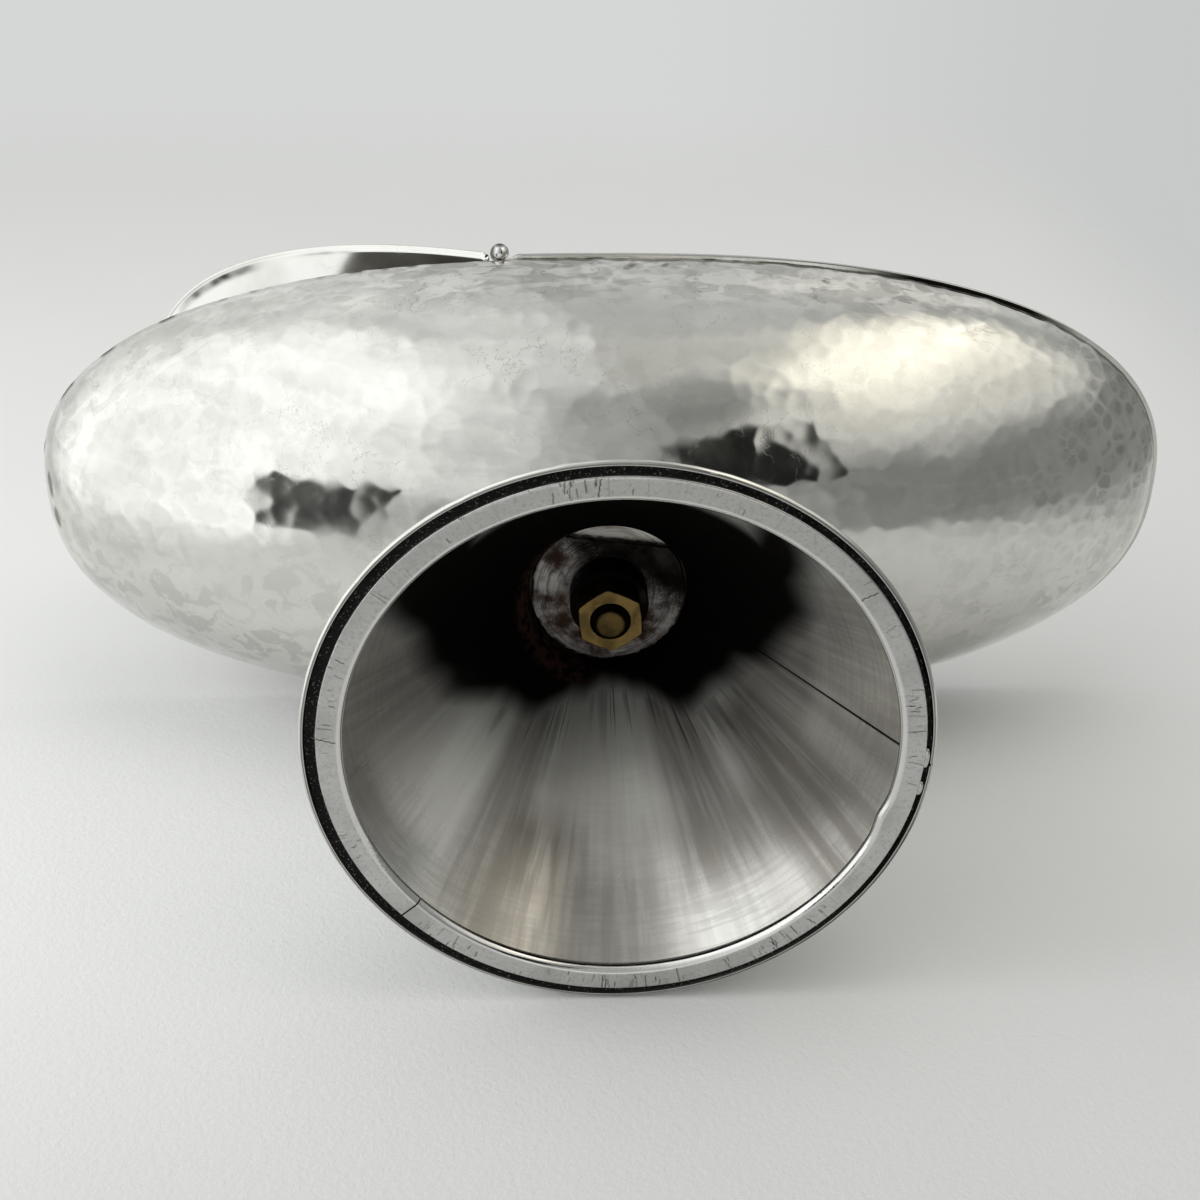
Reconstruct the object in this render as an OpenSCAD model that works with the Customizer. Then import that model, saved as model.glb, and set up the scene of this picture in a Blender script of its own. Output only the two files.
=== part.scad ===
// Incense boat: a hammered oval bowl with a fixed deck and a hinged lid, bolted to a trumpet foot.
// +X runs towards the lid's tip, +Y to the left and +Z up. The origin is the centre of the foot on
// the surface that it stands on. Lengths are in millimetres and angles in degrees.

/* [Bowl] */
// Length of the bowl over its rim
bowl_length = 164.6; // [150:0.2:180]
// Width of the bowl over its rim
bowl_width = 70.3; // [64:0.1:76]
// Depth of the bowl outside, from rim to floor
bowl_depth = 29.6; // [26:0.2:36]
// Thickness of the bowl's sheet
bowl_wall = 1; // [0.7:0.1:1.5]
// Squareness of the rim's outline, where 2 is an ellipse
rim_squareness = 2.44; // [2:0.02:2.8]
// Fullness of the bowl seen from its side, where 2 is an ellipse
side_fullness = 1.46; // [1.4:0.01:2]
// Fullness of the bowl seen from its end, where 2 is an ellipse
end_fullness = 1.49; // [1.4:0.01:2]
// Length of the flat on the bowl's floor
floor_length = 28; // [26:0.5:36]
// Width of the flat on the bowl's floor
floor_width = 25; // [24:0.5:30]
// Distance by which the bowl was set off the foot's centre, towards the lid's tip
bowl_shift = -0.3; // [-1:0.1:1]

/* [Deck and lid] */
// Thickness of the deck's and the lid's sheet
cover_sheet = 0.9; // [0.7:0.1:1.4]
// Overhang of the deck and the lid past the rim
cover_overhang = 0.45; // [0.3:0.05:2]
// Distance of the hinge from the foot's axis, towards the lid's tip
hinge_offset = 14.4; // [5:0.2:25]
// Angle by which the lid stands open
lid_ajar = 30.5; // [0:0.5:90]
// Gap between the closed lid and the rim
lid_seat_gap = 0.25; // [0.2:0.05:0.5]
// Setback of the covers' corners from the hinge barrel
corner_setback = 0.8; // [0.5:0.1:2]

/* [Hinge] */
// Radius of the hinge pin
pin_radius = 0.7; // [0.5:0.05:1]
// Running clearance of the pin in its knuckles
pin_clearance = 0.05; // [0.02:0.01:0.1]
// Wall of the knuckle tubes
knuckle_wall = 0.45; // [0.35:0.05:0.8]
// Gap along the pin between two knuckles
knuckle_gap = 0.3; // [0.2:0.05:0.6]
// Room around a knuckle in the sheet that turns against it
knuckle_room = 0.5; // [0.3:0.05:0.8]
// Room under the barrel, above the rim
barrel_room = 0.1; // [0.05:0.05:0.3]
// Radius of the balls on the pin's ends
ball_radius = 1.35; // [1.1:0.05:1.6]
// Gap between a ball and the end of the barrel
ball_gap = 0.1; // [0.05:0.05:0.3]
// Width of the seam under the barrel between deck and lid
seam_width = 0.6; // [0.4:0.1:1]

/* [Lid knob] */
// Distance of the knob from the lid's tip
knob_setback = 12; // [9:0.5:20]
// Radius of the knob's ball
knob_radius = 2.6; // [2:0.1:3.5]
// Height of the knob above the lid
knob_height = 7; // [6:0.1:9]
// Radius of the knob's stem
stem_radius = 1.1; // [1:0.05:1.5]
// Radius of the knob's foot on the lid
collar_radius = 2; // [1.8:0.1:2.5]
// Height of the knob's foot
collar_height = 0.6; // [0.4:0.1:1]
// Radius of the tenon through the lid
tenon_radius = 0.8; // [0.6:0.05:0.9]
// Radius of the burr washer under the lid
burr_radius = 1.8; // [1.6:0.1:2.4]
// Thickness of the burr washer
burr_sheet = 0.5; // [0.4:0.1:0.8]

/* [Foot] */
// Height of the foot, from the table to the bowl's floor
foot_height = 41; // [36:0.5:50]
// Inside diameter of the foot's mouth
foot_mouth = 69.7; // [62:0.1:76]
// Thickness of the foot's sheet
foot_sheet = 0.7; // [0.5:0.1:1.2]
// Inside diameter of the foot's neck
neck_bore = 21; // [20:0.1:22]
// Length of the neck, from the corner that the cone would make with it
neck_length = 5.4; // [5:0.1:8]
// Radius that blends the cone into the neck
neck_blend = 9; // [5:0.5:10]
// Height of the cone's edge above the table
lip_lift = 0.15; // [0.1:0.05:0.4]

/* [Base ring] */
// Width of the groove between the cone's edge and the base ring
groove_width = 1.1; // [0.8:0.05:1.4]
// Width of the base ring
ring_width = 2.95; // [2.2:0.05:4]
// Height of the base ring
ring_height = 2.6; // [2.4:0.1:3.5]
// Bevel on the base ring's inner edge
ring_bevel = 0.7; // [0.3:0.05:1]
// Height of the upright step above the bevel
ring_step = 0.3; // [0.2:0.05:0.6]
// Distance by which the ring's inner side leans back towards the cone
ring_undercut = 1.2; // [0:0.1:1.5]
// Distance by which the base ring was soldered off the foot's centre
ring_shift = 0.35; // [0:0.05:0.45]
// Width of the base ring's butt joint
ring_joint = 0.2; // [0.1:0.05:0.4]
// Direction of the butt joint, from +X
ring_joint_turn = -41; // [-180:1:180]

/* [Clamp] */
// Diameter of the stud
stud_diameter = 5; // [4:0.1:6]
// Radius of the flange that holds the stud to the bowl
flange_radius = 8; // [6:0.1:9.5]
// Thickness of the stud's flange
flange_sheet = 1; // [0.7:0.1:1.4]
// Thickness of the plate in the foot's neck
plate_sheet = 0.9; // [0.7:0.1:1.2]
// Thickness of the clamp washer
washer_sheet = 1; // [0.7:0.1:1.4]
// Gap between the clamp washer and the neck
washer_gap = 0.3; // [0.3:0.1:1.5]
// Distance of the clamp washer's flat side from the stud's axis
washer_flat = 7.4; // [6:0.1:9]
// Direction of the flat side, from +X
washer_turn = 97; // [-180:1:180]
// Diameter of the distance bush
bush_diameter = 10.2; // [7.5:0.1:12]
// Length of the distance bush
bush_length = 3.9; // [2:0.1:6]
// Width of the nut across its flats
nut_flats = 8; // [7.5:0.1:10]
// Height of the nut
nut_height = 4; // [3:0.1:5]
// Turn of the nut from where its corners point along Y
nut_turn = -5.5; // [-30:0.5:30]
// Bevel on the nut's corners
nut_bevel = 0.35; // [0.1:0.05:0.5]
// Length of the stud past the nut
stud_proud = 1; // [0.2:0.1:2]
// Bevel on the stud's end
stud_bevel = 0.6; // [0.2:0.1:1]
// Radial clearance of the stud in its holes
stud_clearance = 0.05; // [0.02:0.01:0.1]

/* [Hidden] */

silver = [0.80, 0.80, 0.78];
worn_silver = [0.62, 0.61, 0.58];
tarnish = [0.30, 0.27, 0.23];
brass = [0.66, 0.52, 0.30];

// Thickness of a solder joint, also where a tube lies in its groove
solder = 0.05;
// Length by which a cut runs past the piece that it cuts
past = 1;
// Fineness of round pieces
$fn = 96;

// Points around the bowl and levels up its side
rim_points = 72;
wall_levels = 14;
// Levels crowd towards the floor, where the side turns fastest
level_power = 1.2;
// An ellipse is the outline that the floor has, whatever the rim's squareness
ellipse_power = 2;

rim_z = foot_height + bowl_depth;

// Half of a size of the bowl at a share t of its height, from its floor to its rim
function swell(t, floor_half, rim_half, fullness) =
    floor_half + (rim_half - floor_half) * pow(1 - pow(1 - t, fullness), 1 / fullness);

// One point of a rounded outline: power 2 is an ellipse, and more is squarer
function outline_point(turn, half_x, half_y, power) =
    let (c = cos(turn), s = sin(turn),
         r = pow(pow(abs(c), power) + pow(abs(s), power), -1 / power))
    [half_x * c * r, half_y * s * r];

function outline(half_x, half_y, power, count) =
    [for (i = [0 : count - 1]) outline_point(360 * i / count, half_x, half_y, power)];

// One ring of the bowl's surface, drawn in by inset from the outside
function bowl_ring(t, inset) =
    let (half_x = swell(t, floor_length / 2 - inset, bowl_length / 2 - inset, side_fullness),
         half_y = swell(t, floor_width / 2 - inset, bowl_width / 2 - inset, end_fullness),
         power = ellipse_power + (rim_squareness - ellipse_power) * t,
         z = foot_height + inset + (bowl_depth - inset) * t)
    [for (p = outline(half_x, half_y, power, rim_points)) [p.x + bowl_shift, p.y, z]];

function wall_share(i) = 1 - pow(cos(90 * i / wall_levels), level_power);

// The bowl's floor point and then its rings, from floor to rim
function bowl_skin(inset) =
    concat([[bowl_shift, 0, foot_height + inset]],
           [for (i = [0 : wall_levels]) each bowl_ring(wall_share(i), inset)]);

// Faces of a skin whose floor point is number first, seen clockwise from outside or inside
function skin_faces(first, outside) =
    let (wind = function (f) outside ? f : [f[0], f[2], f[1]],
         at = function (i, j) first + 1 + i * rim_points + j % rim_points)
    concat([for (j = [0 : rim_points - 1]) wind([first, at(0, j), at(0, j + 1)])],
           [for (i = [0 : wall_levels - 1], j = [0 : rim_points - 1], half = [0, 1])
               wind(half == 0 ? [at(i, j), at(i + 1, j), at(i + 1, j + 1)]
                              : [at(i, j), at(i + 1, j + 1), at(i, j + 1)])]);

// Flat rim that joins the two skins' last rings
function rim_faces(outer, inner) =
    [for (j = [0 : rim_points - 1], half = [0, 1])
        let (a = j, b = (j + 1) % rim_points)
        half == 0 ? [outer + a, inner + a, inner + b] : [outer + a, inner + b, outer + b]];

module bowl() {
    outer = bowl_skin(0);
    inner = bowl_skin(bowl_wall);
    last_ring = 1 + wall_levels * rim_points;
    color(silver)
        polyhedron(points = concat(outer, inner),
                   faces = concat(skin_faces(0, true),
                                  skin_faces(len(outer), false),
                                  rim_faces(last_ring, len(outer) + last_ring)));
}

// The hinge barrel: five knuckles in a row, of which the deck has every other one
knuckle_radius = pin_radius + pin_clearance + knuckle_wall;
hinge_z = rim_z + knuckle_radius + barrel_room;
cover_half_x = bowl_length / 2 + cover_overhang;
cover_half_y = bowl_width / 2 + cover_overhang;
// Half the covers' width where the hinge crosses them, at that share of their length
hinge_share = abs(hinge_offset - bowl_shift) / cover_half_x;
hinge_half = cover_half_y * pow(1 - pow(hinge_share, rim_squareness), 1 / rim_squareness);
barrel_half = hinge_half - ball_radius - ball_gap;
knuckle_count = 5;
knuckle_length = (2 * barrel_half - (knuckle_count - 1) * knuckle_gap) / knuckle_count;

function knuckle_start(i) = -barrel_half + i * (knuckle_length + knuckle_gap);

// A rod along the hinge axis, from one place on it to another
module hinge_rod(radius, from, to) {
    translate([hinge_offset, from, hinge_z])
        rotate([-90, 0, 0])
            cylinder(r = radius, h = to - from);
}

// Swings what is drawn closed to the angle at which the lid stands
module at_lid() {
    translate([hinge_offset, 0, hinge_z])
        rotate([0, -lid_ajar, 0])
            translate([-hinge_offset, 0, -hinge_z])
                children();
}

module knuckle(i) {
    from = knuckle_start(i);
    difference() {
        hinge_rod(knuckle_radius, from, from + knuckle_length);
        hinge_rod(pin_radius + pin_clearance, from - past, from + knuckle_length + past);
    }
}

// Grooves in a cover's edge: snug on its own knuckles, roomy around the other cover's
module barrel_grooves(own_first) {
    for (i = [0 : knuckle_count - 1]) {
        from = knuckle_start(i);
        to = from + knuckle_length;
        own = i % 2 == own_first;
        spare = own ? 0 : knuckle_gap;
        end_spare = past + cover_overhang + ball_radius;
        hinge_rod(knuckle_radius + (own ? solder : knuckle_room),
                  i == 0 ? from - end_spare : from - spare,
                  i == knuckle_count - 1 ? to + end_spare : to + spare);
    }
}

// A cover's sheet on one side of the hinge: side is 1 towards the lid's tip and -1 for the deck
module cover(side, z, own_first) {
    reach = knuckle_radius + corner_setback;
    difference() {
        translate([0, 0, z])
            linear_extrude(cover_sheet)
                intersection() {
                    translate([bowl_shift, 0])
                        polygon(outline(cover_half_x, cover_half_y, rim_squareness, 2 * rim_points));
                    translate([side > 0 ? hinge_offset + seam_width / 2
                                        : hinge_offset - seam_width / 2 - 2 * cover_half_x,
                               -cover_half_y])
                        square([2 * cover_half_x, 2 * cover_half_y]);
                }
        barrel_grooves(own_first);
        // The overhang is filed back beside the balls
        for (end = [-1, 1])
            translate([hinge_offset - reach, end * hinge_half - cover_overhang, z - past])
                cube([2 * reach, 2 * cover_overhang, cover_sheet + 2 * past]);
    }
}

module deck() {
    color(silver)
        cover(-1, rim_z, 0);
}

lid_z = rim_z + lid_seat_gap;
knob_x = bowl_shift + cover_half_x - knob_setback;

module lid() {
    color(silver)
        at_lid()
            difference() {
                cover(1, lid_z, 1);
                translate([knob_x, 0, lid_z - past])
                    cylinder(r = tenon_radius + solder, h = cover_sheet + 2 * past);
            }
}

module deck_knuckle(i) {
    color(worn_silver)
        knuckle(i);
}

module lid_knuckle(i) {
    color(worn_silver)
        at_lid()
            knuckle(i);
}

module hinge_pin() {
    color(worn_silver)
        hinge_rod(pin_radius, -hinge_half, hinge_half);
}

// A ball on the pin's end, drilled to its middle for the pin
module pin_ball(end) {
    color(silver)
        difference() {
            translate([hinge_offset, end * hinge_half, hinge_z])
                sphere(r = ball_radius);
            hinge_rod(pin_radius + solder,
                      end > 0 ? hinge_half - 2 * ball_radius : -hinge_half,
                      end > 0 ? hinge_half : 2 * ball_radius - hinge_half);
        }
}

module lid_knob() {
    tenon_length = cover_sheet + burr_sheet;
    ball_z = knob_height - knob_radius;
    color(silver)
        at_lid()
            translate([knob_x, 0, lid_z + cover_sheet])
                union() {
                    cylinder(r = collar_radius, h = collar_height);
                    cylinder(r = stem_radius, h = ball_z);
                    translate([0, 0, ball_z])
                        sphere(r = knob_radius);
                    translate([0, 0, -tenon_length])
                        cylinder(r = tenon_radius, h = tenon_length + collar_height);
                }
}

module knob_burr() {
    color(worn_silver)
        at_lid()
            translate([knob_x, 0, lid_z - burr_sheet])
                difference() {
                    cylinder(r = burr_radius, h = burr_sheet);
                    translate([0, 0, -past])
                        cylinder(r = tenon_radius + solder, h = burr_sheet + 2 * past);
                }
}

// The foot: a straight cone that blends into a short neck
mouth_r = foot_mouth / 2;
neck_r = neck_bore / 2;
corner_z = foot_height - neck_length;
cone_angle = atan((mouth_r - neck_r) / (corner_z - lip_lift));
blend_z = corner_z + neck_blend * tan(cone_angle / 2);
blend_steps = 8;

// Arc between cone and neck, upwards, at a distance from the blend's centre
function blend_arc(radius) =
    [for (i = [0 : blend_steps])
        let (turn = cone_angle * (1 - i / blend_steps))
        [neck_r + neck_blend - radius * cos(turn), blend_z - radius * sin(turn)]];

function reversed(list) = [for (i = [len(list) - 1 : -1 : 0]) list[i]];

// Radius of the cone's inside at a height
function cone_r(z) = mouth_r - (z - lip_lift) * tan(cone_angle);

module foot_cone() {
    color(silver)
        rotate_extrude()
            polygon(concat([[mouth_r, lip_lift]],
                           blend_arc(neck_blend),
                           [[neck_r, foot_height], [neck_r + foot_sheet, foot_height]],
                           reversed(blend_arc(neck_blend - foot_sheet)),
                           [[mouth_r + foot_sheet * cos(cone_angle),
                             lip_lift + foot_sheet * sin(cone_angle)]]));
}

ring_outer = mouth_r - groove_width;
ring_inner = ring_outer - ring_width;

module foot_base_ring() {
    seat_gap = solder / cos(cone_angle);
    color(silver)
        difference() {
            intersection() {
                translate([-ring_shift, 0, 0])
                    rotate_extrude()
                        polygon([[ring_inner + ring_undercut, ring_height],
                                 [ring_inner, ring_bevel + ring_step], [ring_inner, ring_bevel],
                                 [ring_inner + ring_bevel, 0], [ring_outer, 0],
                                 [ring_outer, ring_height]]);
                // The ring's back edge is filed to the cone that it is soldered to
                cylinder(r1 = cone_r(0) - seat_gap, r2 = cone_r(ring_height) - seat_gap, h = ring_height);
            }
            rotate([0, 0, ring_joint_turn])
                translate([ring_inner - past, -ring_joint / 2, -past])
                    cube([ring_width + 2 * past, ring_joint, ring_height + 2 * past]);
        }
}

// The clamp, downwards from the bowl's floor
stud_r = stud_diameter / 2;
hole_r = stud_r + stud_clearance;
plate_z = foot_height - flange_sheet - plate_sheet;
washer_z = plate_z - washer_sheet;
bush_z = washer_z - bush_length;
nut_z = bush_z - nut_height;
stud_end_z = nut_z - stud_proud;
nut_sides = 6;
// Distance outwards for each step up of the cone that bevels the nut's corners
nut_bevel_slope = 2;

module stud_hole(z, h) {
    translate([0, 0, z - past])
        cylinder(r = hole_r, h = h + 2 * past);
}

module foot_top_plate() {
    color(silver)
        difference() {
            translate([0, 0, plate_z])
                cylinder(r = neck_r - solder, h = plate_sheet);
            stud_hole(plate_z, plate_sheet);
        }
}

module stud() {
    color(brass)
        union() {
            translate([0, 0, foot_height - flange_sheet])
                cylinder(r = flange_radius, h = flange_sheet);
            translate([0, 0, stud_end_z + stud_bevel])
                cylinder(r = stud_r, h = foot_height - stud_end_z - stud_bevel);
            translate([0, 0, stud_end_z])
                cylinder(r1 = stud_r - stud_bevel, r2 = stud_r, h = stud_bevel);
        }
}

module clamp_washer() {
    washer_r = neck_r - washer_gap;
    color(tarnish)
        difference() {
            translate([0, 0, washer_z])
                cylinder(r = washer_r, h = washer_sheet);
            stud_hole(washer_z, washer_sheet);
            rotate([0, 0, washer_turn])
                translate([washer_flat, -washer_r, washer_z - past])
                    cube([washer_r, 2 * washer_r, washer_sheet + 2 * past]);
        }
}

module clamp_bush() {
    color(tarnish)
        difference() {
            translate([0, 0, bush_z])
                cylinder(d = bush_diameter, h = bush_length);
            stud_hole(bush_z, bush_length);
        }
}

module clamp_nut() {
    half_side = 180 / nut_sides;
    corner_r = nut_flats / 2 / cos(half_side);
    bevel_r = corner_r - nut_bevel;
    color(brass)
        difference() {
            intersection() {
                translate([0, 0, nut_z])
                    rotate([0, 0, half_side + nut_turn])
                        cylinder(r = corner_r, h = nut_height, $fn = nut_sides);
                translate([0, 0, nut_z])
                    cylinder(r1 = bevel_r, r2 = bevel_r + nut_bevel_slope * nut_height, h = nut_height);
            }
            stud_hole(nut_z, nut_height);
        }
}

bowl();
deck();
lid();
deck_knuckle(0);  // deck_knuckle_right
deck_knuckle(2);  // deck_knuckle_middle
deck_knuckle(4);  // deck_knuckle_left
lid_knuckle(1);  // lid_knuckle_right
lid_knuckle(3);  // lid_knuckle_left
hinge_pin();
pin_ball(-1);  // pin_ball_right
pin_ball(1);  // pin_ball_left
lid_knob();
knob_burr();
foot_cone();
foot_base_ring();
foot_top_plate();
stud();
clamp_washer();
clamp_bush();
clamp_nut();
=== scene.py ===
import math
import bpy
import numpy as np
from mathutils import Euler, Matrix, Vector, kdtree


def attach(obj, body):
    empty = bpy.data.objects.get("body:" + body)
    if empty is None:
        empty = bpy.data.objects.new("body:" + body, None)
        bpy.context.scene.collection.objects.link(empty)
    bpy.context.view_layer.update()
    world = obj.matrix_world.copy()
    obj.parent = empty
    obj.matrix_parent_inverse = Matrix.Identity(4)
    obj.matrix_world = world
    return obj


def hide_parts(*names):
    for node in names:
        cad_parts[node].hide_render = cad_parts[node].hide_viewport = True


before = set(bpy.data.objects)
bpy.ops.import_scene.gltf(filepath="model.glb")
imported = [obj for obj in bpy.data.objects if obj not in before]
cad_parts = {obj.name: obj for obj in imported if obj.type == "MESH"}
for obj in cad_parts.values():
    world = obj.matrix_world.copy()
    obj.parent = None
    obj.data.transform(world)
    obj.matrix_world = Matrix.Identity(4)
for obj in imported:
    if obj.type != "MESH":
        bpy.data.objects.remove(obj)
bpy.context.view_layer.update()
print("frame loaded:", len(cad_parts), "nodes")

mm = 0.001  # shapes below are worked out in millimetres

# small mesh helpers


def pathLengths(points):
    return np.r_[0, np.cumsum(np.linalg.norm(np.diff(points, axis=0), axis=1))]


def evenSteps(points, count):
    # parameter values, 0 to 1, that cut a dense path into equal lengths
    lengths = pathLengths(points)
    return np.interp(np.linspace(0, lengths[-1], count), lengths, np.linspace(0, 1, len(points)))


def smoothRamp(low, high, value):
    share = np.clip((value - low) / (high - low), 0, 1)
    return share * share * (3 - 2 * share)


def between(value, start, full, fade, end):
    # 1 from full to fade, 0 before start and after end
    return smoothRamp(start, full, value) * smoothRamp(end, fade, value)


def ringPoints(radius, angles, height, shift=0.0):
    return np.stack([radius * np.cos(angles) + shift, radius * np.sin(angles), height + 0 * angles], -1)


def ringGrid(rows, angles, shift=0.0):
    return np.stack([ringPoints(radius, angles, height, shift) for radius, height in rows])


def outward(rings):
    return rings[..., :2] / np.linalg.norm(rings[..., :2], axis=-1, keepdims=True)


def ripple(points, seed, wave, height, count=14):
    # slow uneven swell left by hand work: a sum of plane waves
    draw = np.random.default_rng(seed)
    total = np.zeros(points.shape[:-1])
    for _ in range(count):
        way = draw.normal(size=3)
        way *= 2 * math.pi / (wave * draw.uniform(0.7, 1.6)) / np.linalg.norm(way)
        total += np.sin(points @ way + draw.uniform(0, 2 * math.pi))
    return total * height / math.sqrt(count)


def gridNormals(grid, wrapColumns):
    if wrapColumns:
        across = np.roll(grid, -1, axis=1) - np.roll(grid, 1, axis=1)
    else:
        across = np.gradient(grid, axis=1)
    along = np.gradient(grid, axis=0)
    normals = np.cross(across, along)
    return normals / np.maximum(np.linalg.norm(normals, axis=-1, keepdims=True), 1e-9)


def gridFaces(rows, columns, wrapRows=False, wrapColumns=True, first=0):
    faces = []
    for i in range(rows if wrapRows else rows - 1):
        a, b = first + i * columns, first + (i + 1) % rows * columns
        for j in range(columns if wrapColumns else columns - 1):
            k = (j + 1) % columns
            faces.append((a + j, a + k, b + k, b + j))
    return faces


def poleFaces(pole, ringFirst, columns, turned):
    faces = []
    for j in range(columns):
        a, b = ringFirst + j, ringFirst + (j + 1) % columns
        faces.append((pole, b, a) if turned else (pole, a, b))
    return faces


def capFaces(rows, columns, first=0):
    # one polygon at either end of a tube
    last = first + (rows - 1) * columns
    return [tuple(range(first, first + columns))[::-1], tuple(range(last, last + columns))]


def closedVolume(points, faces):
    total = 0.0
    for size in (3, 4):
        chosen = np.array([f for f in faces if len(f) == size])
        for k in range(1, size - 1):
            if len(chosen):
                a, b, c = points[chosen[:, 0]], points[chosen[:, k]], points[chosen[:, k + 1]]
                total += np.einsum("ij,ij->i", a, np.cross(b, c)).sum()
    return total


def addPiece(name, points, faces, body, materials, nodes=(), faceMaterial=None, sharp=40):
    points = np.asarray(points, float).reshape(-1, 3)
    if closedVolume(points - points.mean(0), faces) < 0:
        faces = [tuple(reversed(f)) for f in faces]
    mesh = bpy.data.meshes.new(name)
    mesh.from_pydata((points * mm).tolist(), [], faces)
    mesh.shade_smooth()
    mesh.set_sharp_from_angle(angle=math.radians(sharp))
    for material in materials:
        mesh.materials.append(material)
    if faceMaterial is not None:
        mesh.polygons.foreach_set("material_index", np.asarray(faceMaterial, np.int32))
    mesh.update()
    piece = bpy.data.objects.new(name, mesh)
    bpy.context.scene.collection.objects.link(piece)
    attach(piece, body)
    if nodes:
        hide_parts(*nodes)
    return piece


def addValue(piece, name, values):
    attribute = piece.data.attributes.new(name, "FLOAT", "POINT")
    attribute.data.foreach_set("value", np.asarray(values, np.float32).ravel())


hammer = {"soft": 0.010, "reach": 8, "seed": 71, "wave": 7.0, "swing": 0.7, "narrowest": 0.35, "widest": 2,
          "hollow": (0.5, 0.9)}


def hammerField(points, marks, dish, depth, blur):
    # each blow leaves a shallow dish, the lowest dish at a point shows, and ridges are rounded off
    soft, reach = hammer["soft"], hammer["reach"]
    tree = kdtree.KDTree(len(marks))
    for i, mark in enumerate(marks):
        tree.insert(mark, i)
    tree.balance()
    who, far = np.empty((len(points), reach), int), np.empty((len(points), reach))
    for i, point in enumerate(points):
        for k, (_, j, distance) in enumerate(tree.find_n(point, reach)):
            who[i, k], far[i, k] = j, distance
    height = far * far / (2 * dish[who]) - depth[who]
    ranked = np.sort(height, axis=1)
    low = ranked[:, 0] - soft * np.log(np.exp((ranked[:, :1] - ranked) / soft).sum(1))
    owner = who[np.arange(len(points)), height.argmin(1)]
    # 1 in the hollows and 0 on the ridges between them, whose width varies
    swing = ripple(points, hammer["seed"], hammer["wave"], hammer["swing"])
    width = blur * np.clip(1 + swing, hammer["narrowest"], hammer["widest"])
    spread = (ranked[:, :1] - ranked) * (dish[owner] / width)[:, None]
    return low, smoothRamp(*hammer["hollow"], 1 / np.exp(spread).sum(1))


# shader helpers


class NodeKit:
    def __init__(self, tree):
        self.tree, self.links = tree, tree.links

    def add(self, kind, values=None, **settings):
        node = self.tree.nodes.new(kind)
        for key, value in settings.items():
            setattr(node, key, value)
        for key, value in (values or {}).items():
            if isinstance(value, bpy.types.NodeSocket):
                self.links.new(value, node.inputs[key])
            else:
                node.inputs[key].default_value = value
        return node

    def math(self, operation, *values):
        return self.add("ShaderNodeMath", dict(enumerate(values)), operation=operation).outputs[0]

    def chain(self, operation, values):
        total = values[0]
        for value in values[1:]:
            total = self.math(operation, total, value)
        return total

    def times(self, *values):
        return self.chain("MULTIPLY", values)

    def plus(self, *values):
        return self.chain("ADD", values)

    def minus(self, *values):
        return self.chain("SUBTRACT", values)

    def most(self, *values):
        return self.chain("MAXIMUM", values)

    def size(self, value):
        return self.math("ABSOLUTE", value)

    def ramp(self, value, low, high, toLow=0.0, toHigh=1.0):
        return self.add("ShaderNodeMapRange", {"Value": value, "From Min": low, "From Max": high,
                                               "To Min": toLow, "To Max": toHigh},
                        interpolation_type="SMOOTHSTEP").outputs["Result"]

    def layer(self, tone, colour, *masks):
        # colour over tone, as far as the product of the masks lets it
        return self.add("ShaderNodeMix", {0: self.times(*masks), 6: tone, 7: colour}, data_type="RGBA").outputs[2]

    def noise(self, vector, scale, detail=3.0, rough=0.55, distortion=0.0):
        return self.add("ShaderNodeTexNoise", {"Vector": vector, "Scale": scale, "Detail": detail,
                                               "Roughness": rough, "Distortion": distortion}).outputs["Fac"]

    def place(self):
        return self.add("ShaderNodeTexCoord").outputs["Object"]

    def split(self, vector):
        return self.add("ShaderNodeSeparateXYZ", {"Vector": vector}).outputs

    def radius(self, x, y):
        return self.math("SQRT", self.plus(self.times(x, x), self.times(y, y)))

    def value(self, name):
        return self.add("ShaderNodeAttribute", attribute_name=name).outputs["Fac"]

    def group(self, tree, values):
        return self.add("ShaderNodeGroup", values, node_tree=tree).outputs

    def scratches(self, place, scale, share):
        return self.group(scratchGroup, {"Place": place, "Scale": scale, "Share": share})["Mask"]

    def clouds(self, place, scale, share):
        return self.group(tarnishGroup, {"Place": place, "Scale": scale, "Share": share})

    def streaks(self, place, around, along, seed, fuzz=3.0):
        return self.group(streakGroup, {"Place": place, "Around": around, "Along": along, "Seed": seed,
                                        "Fuzz": fuzz})["Streak"]


def newGroup(name, inputs, outputs):
    tree = bpy.data.node_groups.new(name, "ShaderNodeTree")
    for socketName, value in inputs.items():
        kind = "NodeSocketVector" if value is None else "NodeSocketFloat"
        socket = tree.interface.new_socket(socketName, in_out="INPUT", socket_type=kind)
        if value is not None:
            socket.default_value = value
    for socketName in outputs:
        tree.interface.new_socket(socketName, in_out="OUTPUT", socket_type="NodeSocketFloat")
    entry = tree.nodes.new("NodeGroupInput").outputs
    leave = tree.nodes.new("NodeGroupOutput").inputs
    return NodeKit(tree), entry, leave


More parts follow.
